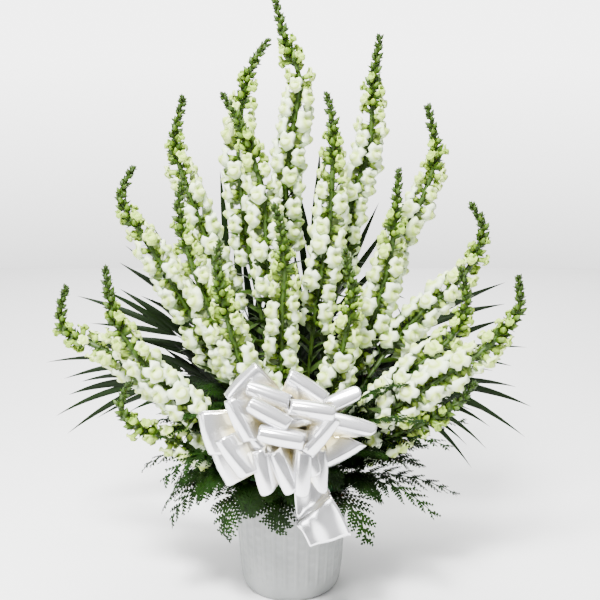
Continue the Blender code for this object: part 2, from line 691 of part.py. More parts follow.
def ribbon_loop(fold_middle, slope, collection, material):
    """One loop of ribbon as a plain closed solid: narrow at the knot, full width at its fold."""
    fold = Vector(fold_middle) * MM
    ahead = (fold - KNOT).normalized()
    line = Vector((math.cos(math.radians(slope)), 0.0, math.sin(math.radians(slope))))
    proud = ahead.cross(line).normalized()
    shoulder = fold - ahead * LOOP_BEND_RADIUS
    corners = [(-1, -1), (1, -1), (1, 1), (-1, 1)]
    shape = bmesh.new()
    rings = []
    for middle, half_width, half_depth in ((KNOT, LOOP_ROOT_HALF_WIDTH, LOOP_ROOT_HALF_WIDTH),
                                           (shoulder, RIBBON_WIDTH / 2, LOOP_BEND_RADIUS)):
        rings.append([shape.verts.new(middle + line * a * half_width + proud * b * half_depth)
                      for a, b in corners])
    ridge = [shape.verts.new(fold + line * a * RIBBON_WIDTH / 2) for a in (-1, 1)]
    root, end = rings
    shape.faces.new(root)
    for i in range(4):
        shape.faces.new((root[i], root[(i + 1) % 4], end[(i + 1) % 4], end[i]))
    shape.faces.new((end[0], end[1], ridge[1], ridge[0]))
    shape.faces.new((end[2], end[3], ridge[0], ridge[1]))
    shape.faces.new((end[1], end[2], ridge[1]))
    shape.faces.new((end[3], end[0], ridge[0]))
    bmesh.ops.triangulate(shape, faces=shape.faces)
    bmesh.ops.recalc_face_normals(shape, faces=shape.faces)
    return add_bmesh("loop", shape, collection, material)


def bow(collection, joined):
    """The knot, all the loops and the tail of the one ribbon, fused into one solid."""
    satin = make_material("satin_white")
    lean = (PICK_END - KNOT).normalized()
    turn = lean.to_track_quat("Z", "Y").to_matrix().to_4x4()
    shape = bmesh.new()
    bmesh.ops.create_cone(shape, cap_ends=True, segments=KNOT_SIDES, radius1=KNOT_RADIUS, radius2=KNOT_RADIUS,
                          depth=KNOT_LENGTH)
    bmesh.ops.triangulate(shape, faces=shape.faces)
    knot = add_bmesh("ribbon_bow", shape, collection, satin)
    knot.data.transform(Matrix.Translation(KNOT) @ turn)
    for fold_middle, slope in LOOPS:
        ribbon_loop(fold_middle, slope, joined, satin)
    ribbon_band(TAIL_ROUTE, "tail", joined, satin)
    return cut_or_join(knot, joined, "UNION")


def bow_pick(collection, cutters):
    """The wooden pick that carries the bow: from a gap under the knot's end down into the foam."""
    lean = (PICK_END - KNOT).normalized()
    top = KNOT + lean * (KNOT_LENGTH / 2 + PICK_GAP)
    length = (PICK_END - top).length
    shape = bmesh.new()
    bmesh.ops.create_cone(shape, cap_ends=True, segments=PICK_SIDES, radius1=PICK_RADIUS, radius2=PICK_RADIUS,
                          depth=length)
    pick = add_bmesh("bow_pick", shape, collection, make_material("pick_wood"))
    turn = lean.to_track_quat("Z", "Y").to_matrix().to_4x4()
    pick.data.transform(Matrix.Translation(top.lerp(PICK_END, 0.5)) @ turn)
    entry = PICK_END - lean * PICK_HOLE_REACH
    half = PICK_RADIUS + HOLE_CLEARANCE
    hole_cutter(PICK_END, entry, (half, half), Vector((1, 0, 0)), cutters)
    return pick


def build():
    clear_scene()
    arrangement = new_collection("snapdragon_arrangement")
    joined = new_collection("joined_shapes", helper=True)
    cutters = new_collection("foam_holes", helper=True)
    pot(arrangement)
    block = foam(arrangement)
    for number, (name, (row, open_length, route)) in enumerate(SPIKES.items()):
        snapdragon(number, name, row, open_length, route, arrangement, joined, cutters)
    for name, (across, tip, arch, plane) in PALMS.items():
        palm(name, across, tip, arch, plane, arrangement, cutters)
    for name, (heading, rise, droop, length, half_width) in FERNS.items():
        fern(name, heading, rise, droop, length, half_width, arrangement, cutters)
    bow(arrangement, joined)
    bow_pick(arrangement, cutters)
    cut_or_join(block, cutters, "DIFFERENCE", solver="MANIFOLD")


build()
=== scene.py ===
"""White snapdragons in a woven-look pot, with palm, fern and a satin bow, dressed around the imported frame.

The frame is +Z up with the origin at the middle of the pot's base. The arrangement faces -Y. Sizes are
metres, apart from the tables of routes, which are in millimetres as in the part's source.
"""

import bmesh
import bpy
import numpy as np
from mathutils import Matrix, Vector


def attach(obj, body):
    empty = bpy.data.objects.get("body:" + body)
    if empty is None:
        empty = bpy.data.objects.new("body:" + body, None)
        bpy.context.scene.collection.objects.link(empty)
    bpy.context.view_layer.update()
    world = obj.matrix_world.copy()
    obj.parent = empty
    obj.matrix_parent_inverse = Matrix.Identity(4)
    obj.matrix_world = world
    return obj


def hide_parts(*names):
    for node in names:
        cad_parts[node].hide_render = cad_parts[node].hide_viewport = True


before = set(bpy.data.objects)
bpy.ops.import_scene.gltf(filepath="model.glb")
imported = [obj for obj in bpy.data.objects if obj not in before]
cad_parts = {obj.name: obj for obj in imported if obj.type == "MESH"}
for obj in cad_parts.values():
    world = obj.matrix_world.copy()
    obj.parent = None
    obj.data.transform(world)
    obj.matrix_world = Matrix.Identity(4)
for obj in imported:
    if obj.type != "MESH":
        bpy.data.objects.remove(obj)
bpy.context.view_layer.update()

# The pot: a florist's planter, injection moulded in white plastic to look like basketwork. Upright stakes
# stand out of its wall, and flat strands pass before and behind them. Its rim and its foot are plain bands.
POT_BASE_RADIUS = 0.0805
POT_RIM_RADIUS = 0.0965
POT_HEIGHT = 0.185
POT_WALL = 0.0032
POT_FLOOR = 0.004
POT_BAND_LOW = POT_HEIGHT - 0.012
POT_RIM_OUTSIDE = POT_RIM_RADIUS + 0.0028
POT_RIM_INSIDE = POT_RIM_RADIUS - POT_WALL
# The outline: up the foot as (radius past the base's, height), then over the rim and in as (radius, height).
FOOT_OUTLINE = [(-POT_BASE_RADIUS, 0.0), (-0.006, 0.0), (-0.0042, 0.0002), (-0.0028, 0.0009),
                (0.0010, 0.0055), (0.0030, 0.0105), (0.0048, 0.0170)]
RIM_OUTLINE = [
    (POT_RIM_RADIUS - 0.0008, POT_BAND_LOW - 0.0004),
    (POT_RIM_OUTSIDE - 0.0006, POT_BAND_LOW + 0.0003),
    (POT_RIM_OUTSIDE, POT_BAND_LOW + 0.0015),
    (POT_RIM_OUTSIDE, POT_HEIGHT - 0.0018),
    (POT_RIM_OUTSIDE - 0.0006, POT_HEIGHT - 0.0005),
    (POT_RIM_OUTSIDE - 0.0018, POT_HEIGHT),
    (POT_RIM_INSIDE + 0.0012, POT_HEIGHT),
    (POT_RIM_INSIDE + 0.0003, POT_HEIGHT - 0.0005),
    (POT_RIM_INSIDE, POT_HEIGHT - 0.0018),
    (POT_BASE_RADIUS - POT_WALL, POT_FLOOR),
    (0.0, POT_FLOOR),
]
WALL_FOOT = 0.0216
WALL_LOW_RADIUS = POT_BASE_RADIUS + 0.0055
WALL_TOP_RADIUS = POT_RIM_RADIUS - 0.0012
WALL_TOP_GAP = 0.001
WALL_ROWS = 84
WALL_FADE = 8
POT_STAKES = 30
STAKE_COLUMNS = 12
STAKE_RELIEF = 0.0016
STAKE_POWER = 10
STRAND_HEIGHT = 0.0088
STRAND_RELIEF = 0.0004
GROOVE_SHARE = 0.35
GROOVE_POWER = 8
WELD_GAP = 1e-7
MULTIPLIED = {"data_type": "RGBA", "blend_type": "MULTIPLY"}


def full_turn(count):
    """Even turns round a circle, without its end."""
    return np.arange(count) * 2 * np.pi / count


def rings(radius, height, turns):
    """Points of circles about Z, for radii and heights that broadcast against the turns."""
    return np.stack(np.broadcast_arrays(radius * np.cos(turns), radius * np.sin(turns), height), -1)


def grid_faces(rows, columns, wrap=False):
    """Quads of a grid whose points are numbered row by row; wrap joins the last column to the first."""
    row, column = np.meshgrid(np.arange(rows - 1), np.arange(columns if wrap else columns - 1), indexing="ij")
    start = row * columns + column
    across = row * columns + (column + 1) % columns
    return np.stack([start, across, across + columns, start + columns], axis=-1).reshape(-1, 4)


def put_mesh(name, points, faces, uv=None, values=None, weld=False):
    """A mesh object from arrays: points (n, 3), quads (m, 4), UVs and named values at the points.

    weld joins the points that lie on one another, which closes a seam, or a pole whose ring has no radius.
    """
    points = np.asarray(points, dtype=np.float32).reshape(-1, 3)
    faces = np.asarray(faces, dtype=np.int32)
    mesh = bpy.data.meshes.new(name)
    mesh.vertices.add(len(points))
    mesh.vertices.foreach_set("co", points.ravel())
    mesh.loops.add(faces.size)
    mesh.loops.foreach_set("vertex_index", faces.ravel())
    mesh.polygons.add(len(faces))
    mesh.polygons.foreach_set("loop_start", np.arange(0, faces.size, faces.shape[1], dtype=np.int32))
    mesh.polygons.foreach_set("use_smooth", np.ones(len(faces), dtype=bool))
    if uv is not None:
        layer = mesh.uv_layers.new(name="surface")
        corners = np.asarray(uv, dtype=np.float32).reshape(-1, 2)[faces.ravel()]
        layer.data.foreach_set("uv", corners.ravel())
    for key, numbers in (values or {}).items():
        attribute = mesh.attributes.new(key, "FLOAT", "POINT")
        attribute.data.foreach_set("value", np.asarray(numbers, dtype=np.float32).ravel())
    mesh.update(calc_edges=True)
    mesh.validate()
    if weld:
        shape = bmesh.new()
        shape.from_mesh(mesh)
        bmesh.ops.remove_doubles(shape, verts=shape.verts, dist=WELD_GAP)
        shape.to_mesh(mesh)
        shape.free()
    piece = bpy.data.objects.new(name, mesh)
    bpy.context.scene.collection.objects.link(piece)
    return piece


def linear(hex_colour):
    """An sRGB hex colour as linear RGBA."""
    srgb = np.array([int(hex_colour[i:i + 2], 16) for i in (1, 3, 5)]) / 255
    rgb = np.where(srgb <= 0.04045, srgb / 12.92, ((srgb + 0.055) / 1.055) ** 2.4)
    return (*map(float, rgb), 1.0)


def wire(tree, node, **inputs):
    """Link each input that is given as (node, output) and set the others; i3 stands for input number 3."""
    for key, value in inputs.items():
        numbered = key[0] == "i" and key[1:].isdigit()
        socket = node.inputs[int(key[1:]) if numbered else key.replace("_", " ")]
        if isinstance(value, tuple) and isinstance(value[0], bpy.types.Node):
            tree.links.new(value[0].outputs[value[1]], socket)
        else:
            socket.default_value = value


def add_node(tree, kind, settings=None, steps=(), **inputs):
    """One shader node with its settings, its inputs and, for a ramp, its steps of (place, hex colour)."""
    node = tree.nodes.new("ShaderNode" + kind)
    for key, value in (settings or {}).items():
        setattr(node, key, value)
    if steps:
        elements = node.color_ramp.elements
        while len(elements) < len(steps):
            elements.new(0.5)
        for element, (place, colour) in zip(elements, steps):
            element.position = place
            element.color = linear(colour)
    wire(tree, node, **inputs)
    return node


def new_finish(name, **inputs):
    """A material whose Principled shader has the given inputs set."""
    material = bpy.data.materials.new(name)
    material.use_nodes = True
    shader = material.node_tree.nodes["Principled BSDF"]
    wire(material.node_tree, shader, **inputs)
    return material, material.node_tree, shader


def pot_surface():
    """A profile turned about Z. Stakes add |cos| of the turn to a power to the wall's radius.

    Between them, strands add a cosine of the height that flips at each stake, less a narrow groove where two
    strands meet. Both fade out at the wall's foot and top.
    """
    turns = full_turn(POT_STAKES * STAKE_COLUMNS)
    foot, rim = np.array(FOOT_OUTLINE), np.array(RIM_OUTLINE)
    wall_z = np.linspace(WALL_FOOT, POT_BAND_LOW - WALL_TOP_GAP, WALL_ROWS)
    slope = (wall_z - WALL_FOOT) / (POT_BAND_LOW - WALL_FOOT)
    wall_r = WALL_LOW_RADIUS + (WALL_TOP_RADIUS - WALL_LOW_RADIUS) * slope
    radius = np.concatenate([POT_BASE_RADIUS + foot[:, 0], wall_r, rim[:, 0]])[:, None]
    height = np.concatenate([foot[:, 1], wall_z, rim[:, 1]])[:, None]
    fade = np.clip(WALL_FADE * np.minimum(slope, 1 - slope), 0, 1)
    on_wall = np.concatenate([np.zeros(len(foot)), fade, np.zeros(len(rim))])[:, None]
    stake = np.abs(np.cos(turns * POT_STAKES / 2)) ** STAKE_POWER
    weave = np.pi * height / STRAND_HEIGHT
    strand = np.cos(weave) * np.sin(turns * POT_STAKES / 2)
    groove = -GROOVE_SHARE * np.abs(np.sin(weave)) ** GROOVE_POWER
    relief = STAKE_RELIEF * stake + STRAND_RELIEF * (strand + groove) * (1 - stake)
    points = rings(radius + on_wall * relief, height, turns)
    return points, grid_faces(len(radius), len(turns), wrap=True)


def moulded_white_plastic():
    """Polypropylene, moulded in white: a fine satin texture dulls its highlights, and painted shade greys its
    grooves.

    The texture's grain is about 1 mm and its clouding 70 mm. Its grey tint is far darker than white plastic:
    painted shade for the dim light on the pot under the bow and the flowers.
    """
    material, tree, shader = new_finish(
        "moulded_white_polypropylene", Roughness=0.46, Specular_IOR_Level=0.45)
    place = add_node(tree, "TexCoord")
    cloud = add_node(tree, "TexNoise", Vector=(place, "Object"), Scale=14.0, Detail=3.0)
    # Painted shade: the grey tint, far darker than white plastic, stands for the dim light on the pot.
    tint = add_node(tree, "ValToRGB", steps=[(0.35, "#868988"), (0.65, "#949695")], i0=(cloud, "Fac"))
    form = add_node(tree, "NewGeometry")
    # Painted shade: low Pointiness greys the grooves and hollows of the weave.
    painted_groove_shade = add_node(tree, "ValToRGB", steps=[(0.44, "#B9BCBA"), (0.50, "#FFFFFF")], i0=(form, "Pointiness"))
    mixed = add_node(tree, "Mix", MULTIPLIED, i0=0.8, i6=(tint, "Color"), i7=(painted_groove_shade, "Color"))
    grain = add_node(tree, "TexNoise", Vector=(place, "Object"), Scale=900.0, Detail=2.0)
    bump = add_node(tree, "Bump", Height=(grain, "Fac"), Strength=0.12, Distance=0.0004)
    wire(tree, shader, Base_Color=(mixed, 2), Normal=(bump, "Normal"))
    return material


pot = put_mesh("woven_look_pot", *pot_surface(), weld=True)
pot.data.materials.append(moulded_white_plastic())
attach(pot, "root")
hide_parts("pot")

# The floral foam: a green phenolic block, soaked, pressed into the pot and rounded off above the rim. Stems
# go in wherever they are pushed, so its face is lumpy and crumbly.
FOAM_TOP = 0.240
FOAM_OUTLINE = [(0.0, 0.0043), (0.0755, 0.0043), (0.0895, 0.178), (0.0828, 0.192), (0.0795, 0.212),
                (0.0770, 0.228), (0.0735, 0.2355), (0.0665, 0.2392), (0.0560, FOAM_TOP), (0.0, FOAM_TOP)]
FOAM_ROWS = 54
FOAM_COLUMNS = 96
FOAM_LUMP = 0.0007
FOAM_LUMPS_FROM = 0.186
FOAM_LUMPS_FADE = (0.01, 0.02)


def foam_surface():
    """The outline turned about Z, plus lumps: two sines of the turn and height, multiplied, above the rim."""
    turns = full_turn(FOAM_COLUMNS)
    outline = np.array(FOAM_OUTLINE)
    steps = np.linspace(0, len(outline) - 1, FOAM_ROWS)
    radius, height = (np.interp(steps, np.arange(len(outline)), values)[:, None] for values in outline.T)
    lump = FOAM_LUMP * np.sin(7 * turns + 90 * height) * np.sin(3 * turns - 60 * height)
    up, out = FOAM_LUMPS_FADE
    lump = lump * np.clip((height - FOAM_LUMPS_FROM) / up, 0, 1) * np.clip(radius / out, 0, 1)
    return rings(radius + lump, height, turns), grid_faces(FOAM_ROWS, FOAM_COLUMNS, wrap=True)


def wet_floral_foam():
    """Open-celled phenolic foam: dark green when wet, with no gloss and a crumb of about 2 mm."""
    material, tree, shader = new_finish("wet_phenolic_foam", Roughness=0.95, Specular_IOR_Level=0.2)
    place = add_node(tree, "TexCoord")
    crumb = add_node(tree, "TexNoise", Vector=(place, "Object"), Scale=420.0, Detail=4.0)
    tint = add_node(tree, "ValToRGB", steps=[(0.3, "#1E3F22"), (0.7, "#37633A")], i0=(crumb, "Fac"))
    bump = add_node(tree, "Bump", Height=(crumb, "Fac"), Strength=0.6, Distance=0.0008)
    wire(tree, shader, Base_Color=(tint, "Color"), Normal=(bump, "Normal"))
    return material


foam = put_mesh("floral_foam", *foam_surface(), weld=True)
foam.data.materials.append(wet_floral_foam())
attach(foam, "root")
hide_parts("foam")

# The snapdragons: twenty cut stems that stand in the foam in four rows. Each bears a spire of green buds,
# white florets that open towards its foot, a bract or a scale at every step, and narrow leaves lower down.
MM = 0.001
# Each row: the depth at which its stems stand in the foam, and the depth that they lean to above it.
ROWS = {
    "back": (0.045, 0.132),
    "rear": (0.020, 0.066),
    "fore": (-0.006, 0.000),
    "front": (-0.031, -0.067),
}
# Each spike: its row, its length in open flower and its route from tip to cut end as (x, z), in mm.
SPIKES = {
    "far_left": ("fore", 215, [
        (-370, 520), (-380, 480), (-370, 445), (-300, 410), (-220, 350), (-130, 272), (-42, 192)]),
    "low_left": ("front", 120, [(-260, 375), (-275, 340), (-255, 310), (-210, 283), (-150, 250), (-54, 200)]),
    "left_outer": ("front", 185, [
        (-290, 565), (-285, 520), (-270, 465), (-230, 405), (-155, 330), (-85, 268), (-24, 168)]),
    "left_tall": ("rear", 260, [
        (-265, 710), (-285, 660), (-252, 600), (-210, 530), (-150, 415), (-90, 305), (-36, 150)]),
    "left_inner": ("fore", 215, [
        (-175, 690), (-180, 655), (-170, 590), (-140, 500), (-105, 415), (-65, 325), (-21, 150)]),
    "left_upper": ("back", 265, [
        (-185, 825), (-200, 745), (-175, 655), (-145, 570), (-105, 455), (-62, 325), (-30, 150)]),
    "left_short": ("front", 170, [
        (-110, 605), (-115, 575), (-108, 520), (-85, 430), (-60, 350), (-35, 280), (-8, 150)]),
    "dark_tip": ("rear", 240, [
        (-110, 830), (-80, 775), (-60, 720), (-45, 660), (-40, 555), (-25, 415), (-12, 150)]),
    "hooked_tip": ("back", 255, [
        (-40, 920), (-70, 870), (-85, 805), (-90, 705), (-75, 565), (-50, 420), (-12, 150)]),
    "tallest": ("back", 290, [(-25, 985), (-10, 920), (15, 855), (3, 770), (-10, 650), (-6, 475), (4, 150)]),
    "middle": ("fore", 210, [
        (-25, 655), (-15, 615), (-10, 550), (-15, 465), (-15, 380), (-10, 295), (-2, 150)]),
    "right_middle": ("rear", 265, [
        (60, 830), (70, 785), (70, 715), (65, 615), (45, 485), (30, 360), (10, 150)]),
    "right_upper": ("back", 290, [
        (150, 925), (140, 845), (135, 740), (105, 645), (85, 510), (55, 360), (20, 150)]),
    "right_short": ("fore", 180, [
        (90, 580), (95, 550), (103, 515), (90, 435), (72, 355), (43, 272), (14, 150)]),
    "right_tall": ("rear", 225, [
        (180, 705), (175, 615), (165, 540), (140, 450), (105, 360), (68, 270), (28, 150)]),
    "right_curved": ("back", 265, [
        (235, 810), (250, 735), (230, 655), (195, 595), (160, 490), (95, 345), (38, 150)]),
    "right_bent": ("rear", 200, [
        (305, 650), (325, 605), (295, 530), (230, 470), (170, 400), (95, 300), (46, 168)]),
    "right_leaning": ("fore", 215, [
        (280, 550), (290, 495), (265, 435), (205, 380), (140, 315), (80, 244), (32, 172)]),
    "far_right": ("front", 215, [
        (360, 550), (360, 495), (310, 435), (240, 385), (160, 328), (90, 268), (16, 180)]),
    "low_right": ("front", 130, [(296, 378), (265, 340), (200, 300), (125, 257), (57, 212)]),
}
SPIKE_SEED = 400
GOLDEN_TURN = np.radians(137.5)
ROW_SPREAD = 0.13
STRAIGHT_RUN = 0.11
STRAIGHT_FROM = 1.15
STRAIGHT_POINTS = 12
CURVE_POINTS = 90
SPLINE_STEPS = 24
STEM_SIDES = 8
STEM_RIBS = 0.05
STEM_CUT_RADIUS = 0.0031
STEM_GIRTH = ([0, 0.1, 0.2, 0.5, 0.72, 1], [0.5, 1.0, 1.45, 1.45, 1.0, 1.0])
GREEN_TONES = {"stem": 0.10, "calyx": 0.16, "bud_calyx": 0.10, "bract": 0.11, "leaf": 0.07}


def eased(low, high, value):
    """Smoothstep from 0 at low to 1 at high."""
    share = np.clip((value - low) / (high - low), 0, 1)
    return share * share * (3 - 2 * share)


def grown(start, growth, power, share):
    """A start plus its growth times the share to a power."""
    return start + growth * share ** power


def unit(vectors):
    return vectors / np.linalg.norm(vectors, axis=-1, keepdims=True)


def lengths_along(points):
    """How far along a line of points each of them lies."""
    return np.concatenate([[0], np.cumsum(np.linalg.norm(np.diff(points, axis=0), axis=1))])


def interpolated(wanted, known, values):
    """Rows of values at the wanted places between the known ones."""
    return np.stack([np.interp(wanted, known, column) for column in values.T], -1)


def smooth_line(points, count):
    """Even points along a Catmull-Rom curve through the given ones."""
    points = np.asarray(points, dtype=float)
    padded = np.concatenate([[2 * points[0] - points[1]], points, [2 * points[-1] - points[-2]]])
    a, b, c, d = (padded[i:len(padded) - 3 + i, None] for i in range(4))
    t = np.linspace(0, 1, SPLINE_STEPS, endpoint=False)[None, :, None]
    square, cube = 2 * a - 5 * b + 4 * c - d, 3 * b - a - 3 * c + d
    fine = 0.5 * (2 * b + (c - a) * t + square * t ** 2 + cube * t ** 3)
    fine = np.concatenate([fine.reshape(-1, points.shape[1]), points[-1:]])
    reach = lengths_along(fine)
    return interpolated(np.linspace(0, reach[-1], count), reach, fine)


def stem_line(row, route):
    """The stem's points from its tip to its cut end: straight in the foam, then out to its row's depth."""
    root_depth, full_depth = ROWS[row]
    flat = np.array(route, dtype=float) * MM
    run = flat[-2] - flat[-1]
    length = np.linalg.norm(run)
    if length > STRAIGHT_RUN * STRAIGHT_FROM:
        flat = np.insert(flat, -1, flat[-1] + run / length * STRAIGHT_RUN, axis=0)
    steps = np.linalg.norm(np.diff(flat[:-1], axis=0), axis=1)
    distance = np.concatenate([np.cumsum(steps[::-1])[::-1], [0, 0]])
    depth = root_depth + (full_depth - root_depth) * eased(0, ROW_SPREAD, distance)
    points = np.stack([flat[:, 0], depth, flat[:, 1]], -1)
    straight = np.linspace(points[-2], points[-1], STRAIGHT_POINTS)[1:]
    return np.concatenate([smooth_line(points[:-1], CURVE_POINTS), straight])


def along_line(line, distance):
    """Places and directions, towards the tip, at distances from the line's first point."""
    reach = lengths_along(line)
    heading = unit(-np.gradient(line, axis=0))
    return interpolated(distance, reach, line), unit(interpolated(distance, reach, heading))


def frames_round(toward, turn, rise, roll=0.0):
    """Axes (side, up, out) at each place: out is turned about the stem, raised towards its tip and rolled."""
    turn, rise = turn[:, None], rise[:, None]
    across = unit(np.cross(toward, np.array([0.0, 1.0, 0.0])))
    ahead = np.cross(across, toward)
    out = across * np.cos(turn) - ahead * np.sin(turn)
    up = toward * np.cos(rise) - out * np.sin(rise)
    out = out * np.cos(rise) + toward * np.sin(rise)
    side = np.cross(up, out)
    roll = np.broadcast_to(roll, len(toward))[:, None]
    rolled = side * np.cos(roll) + up * np.sin(roll), up * np.cos(roll) - side * np.sin(roll)
    return np.stack([*rolled, out], axis=1)


def stood(shapes, frames, places):
    """Shapes (n, points, 3), in their own axes, turned to frames (n, 3, 3) and moved to places (n, 3)."""
    return np.einsum("npk,nkx->npx", shapes, frames) + places[:, None]


def tube_points(line, radius, sides, ribs=0.0):
    """Rings round a line; the radius follows the line, and ribs adds a fine corner at each side."""
    heading = unit(np.gradient(line, axis=0))
    across = unit(np.cross(heading, np.array([0.0, 1.0, 0.02])))
    other = np.cross(heading, across)
    turns = full_turn(sides)[:, None]
    rim = np.broadcast_to(radius, len(line))[:, None, None] * (1 + ribs * np.cos(4 * turns))
    return line[:, None] + rim * (across[:, None] * np.cos(turns) + other[:, None] * np.sin(turns))


def grid_part(points, rows, columns, tone, wrap=False, flip=False):
    """Copies of one grid as a part (points, faces, tone, uv), with UVs from 0 to 1 across and along each."""
    points = points.reshape(-1, rows * columns, 3)
    count = len(points)
    starts = np.arange(count)[:, None, None] * rows * columns
    faces = grid_faces(rows, columns, wrap)[:, ::(-1 if flip else 1)] + starts
    v, u = np.meshgrid(np.linspace(0, 1, rows), np.linspace(0, 1, columns), indexing="ij")
    uv = np.broadcast_to(np.stack([u, v], -1), (count, rows, columns, 2))
    return points, faces.reshape(-1, 4), np.broadcast_to(tone, (count, rows * columns)), uv


def merged(parts):
    """Several (points, faces, tone, uv) parts as one, with the faces renumbered."""
    points = [part[0].reshape(-1, 3) for part in parts]
    starts = np.cumsum([0] + [len(values) for values in points])
    faces = [part[1] + start for part, start in zip(parts, starts)]
    tones = [np.ravel(part[2]) for part in parts]
    uvs = [part[3].reshape(-1, 2) for part in parts]
    return tuple(np.concatenate(values) for values in (points, faces, tones, uvs))


# A floret's face in mm. Each ring, from the palate out to the lobes' rims, has its reach and its height above
# the stem towards the upper lip, the side and the lower lip. Each notch: its middle and width in degrees, and
# its depth.
LIP_SECTIONS = np.array([
    [(0.0, 25.0), (0.0, 25.0), (0.0, 25.0)],
    [(2.6, 23.8), (5.0, 26.4), (3.6, 25.6)],
    [(4.0, 16.0), (8.2, 22.0), (7.6, 24.2)],
    [(6.6, 19.6), (10.2, 19.4), (11.4, 21.2)],
    [(11.2, 22.6), (13.0, 19.0), (14.8, 17.0)],
    [(15.8, 20.8), (15.8, 16.4), (17.0, 12.6)],
    [(19.4, 15.2), (17.2, 12.0), (17.4, 8.4)],
])
LIP_NOTCHES = [(90, 13, 0.42), (2, 17, 0.50), (178, 17, 0.50), (-57, 14, 0.34), (-123, 14, 0.34)]
LIP_TURNS = 16
LIP_RINGS = len(LIP_SECTIONS)
# Each ring's share of the notches, of the young floret's fold and of the ruffle, its lift and its tone. The
# tone is lowest at the crease of the mouth: greener there, and painted shade in the crease.
RING_NOTCH = np.array([0, 0, 0, 0.15, 0.45, 0.8, 1.0])[:, None]
RING_FOLD = np.array([0, 0, 0, 0.1, 0.45, 0.8, 1.0])[:, None]
RING_RUFFLE = np.array([0, 0, 0, 0.2, 0.6, 1.3, 2.3])[:, None]
RING_LIFT = np.array([-2.6, -2.6, -1.2, 0, 0, 0, 0])[:, None]
RING_TONE_AND_SHADE = np.array([0.76, 0.84, 0.48, 0.78, 0.92, 0.98, 1.0])
NOTCH_DROP = 6.0
FOLD_REACH = 0.50
FOLD_HEIGHT = 11.0
RUFFLE_REACH = 0.030
# The tube's rings in mm, from the calyx to past the crease: reach, share of the pouch, height, lift, tone.
# The tone falls towards the calyx: greener there, and painted shade at the tube's foot by the stem.
TUBE_SECTIONS = np.array([
    (2.6, 0.0, 2.0, 0.0, 0.20),
    (4.9, 1.0, 6.0, -0.6, 0.36),
    (5.0, 0.6, 12.5, -0.8, 0.54),
    (6.6, 0.0, 19.2, -0.8, 0.62),
])
TUBE_TURNS = 8
TUBE_POUCH = 0.7


def corolla_points(size, openness, phase):
    """The face of a floret: seven rings from the palate, over the crease of the mouth, out to the rims.

    Between the lips and the side, reach and height follow sin squared of the turn. Each notch takes a bell of
    exp(-x^2) out of the rim, which leaves two upper and three lower lobes. A young floret folds its lips
    forward. Waves of five and nine ruffle the rim's height, and one of seven its reach.
    """
    turns = full_turn(LIP_TURNS)
    upper, lower = np.clip(np.sin(turns), 0, 1) ** 2, np.clip(-np.sin(turns), 0, 1) ** 2
    blend = np.stack([upper, 1 - upper - lower, lower])
    reach, height = np.einsum("rkv,kt->vrt", LIP_SECTIONS, blend)
    rim = np.ones(LIP_TURNS)
    for middle, width, depth in LIP_NOTCHES:
        away = (np.degrees(turns) - middle + 180) % 360 - 180
        rim = rim * (1 - depth * np.exp(-(away / width) ** 2))
    reach = reach * (1 + (rim - 1) * RING_NOTCH)
    height = height - NOTCH_DROP * (1 - rim) * RING_NOTCH
    shut = (1 - openness)[:, None, None]
    phase = phase[:, None, None]
    ruffle = np.sin(5 * turns + phase) + 0.7 * np.sin(9 * turns - 2 * phase)
    reach = reach * (1 - FOLD_REACH * shut * RING_FOLD)
    reach = reach * (1 + RUFFLE_REACH * RING_RUFFLE * np.sin(7 * turns + 3 * phase))
    height = height + FOLD_HEIGHT * shut * RING_FOLD + RING_RUFFLE * ruffle
    shape = rings(reach, height, turns)
    shape[..., 1] += RING_LIFT
    return shape.reshape(len(size), -1, 3) * size[:, None, None] * MM


def corolla_tube_points(size):
    """The tube behind the face: circles by TUBE_SECTIONS, with a pouch below by -sin of the turn."""
    turns = full_turn(TUBE_TURNS)
    reach, pouch, height, lift, _ = TUBE_SECTIONS.T[..., None]
    shape = rings(reach + TUBE_POUCH * pouch * np.clip(-np.sin(turns), 0, 1), height, turns)
    shape[..., 1] += lift
    return shape.reshape(1, -1, 3) * size[:, None, None] * MM


# A calyx's rings in mm: reach and height, and how much further the sepals' points go out and up.
CALYX_SECTIONS = np.array([(0.8, 0.0, 0.0, 0.0), (3.4, 2.6, 0.0, 0.0), (4.4, 4.8, 1.8, 4.6)])
CALYX_RINGS = len(CALYX_SECTIONS)
CALYX_TURNS = 10


def calyx_points(size):
    """The green cup behind a floret: three rings of ten, the last stepped out as five pointed sepals."""
    turns = full_turn(CALYX_TURNS)
    pointed = np.arange(CALYX_TURNS) % 2 == 0
    reach, height, out, up = CALYX_SECTIONS.T[..., None]
    shape = rings(reach + out * pointed, height + up * pointed, turns)
    return shape.reshape(1, -1, 3) * size[:, None, None] * MM


FLORET_PITCH = 0.0072
FLORET_FROM_STEM = 0.0048
OPEN_SHARE = 1.22
OPENING_LENGTH = 0.115
FRONT_FLORETS = 0.20
FRONT_GAP = (20, 38)
FLORET_STEP_SPREAD = 0.2
FLORET_TURN_SPREAD = 0.16
SPIKE_TURN = 1.7
# With age, as a start, a growth and a power, and its spread: rise in degrees, size, openness, whiteness.
FLORET_RISE = (40, -34, 1)
FLORET_RISE_SPREAD = 8
FLORET_SIZE = (0.68, 0.45, 0.8)
FLORET_SIZE_RANGE = (0.90, 1.08)
FLORET_OPENNESS = (0.15, 0.95, 1)
FLORET_OPENNESS_RANGE = (0.82, 1.0)
FLORET_WHITENESS = (0.32, 0.68, 1)
WHITENESS_LEAD = 1.05
WHITENESS_SPREAD = 0.11
CALYX_SIZE = 0.95
CALYX_FROM_STEM = 0.0006
PETAL_THICKNESS = 0.00025


def past_front(turn, gap):
    """Turns moved away from the viewer's side: none is left within gap of it, so the stem shows there."""
    away = (turn - np.pi / 2 + np.pi) % (2 * np.pi) - np.pi
    return np.pi / 2 + np.sign(away) * (gap + (np.pi - gap) * np.abs(away) / np.pi)


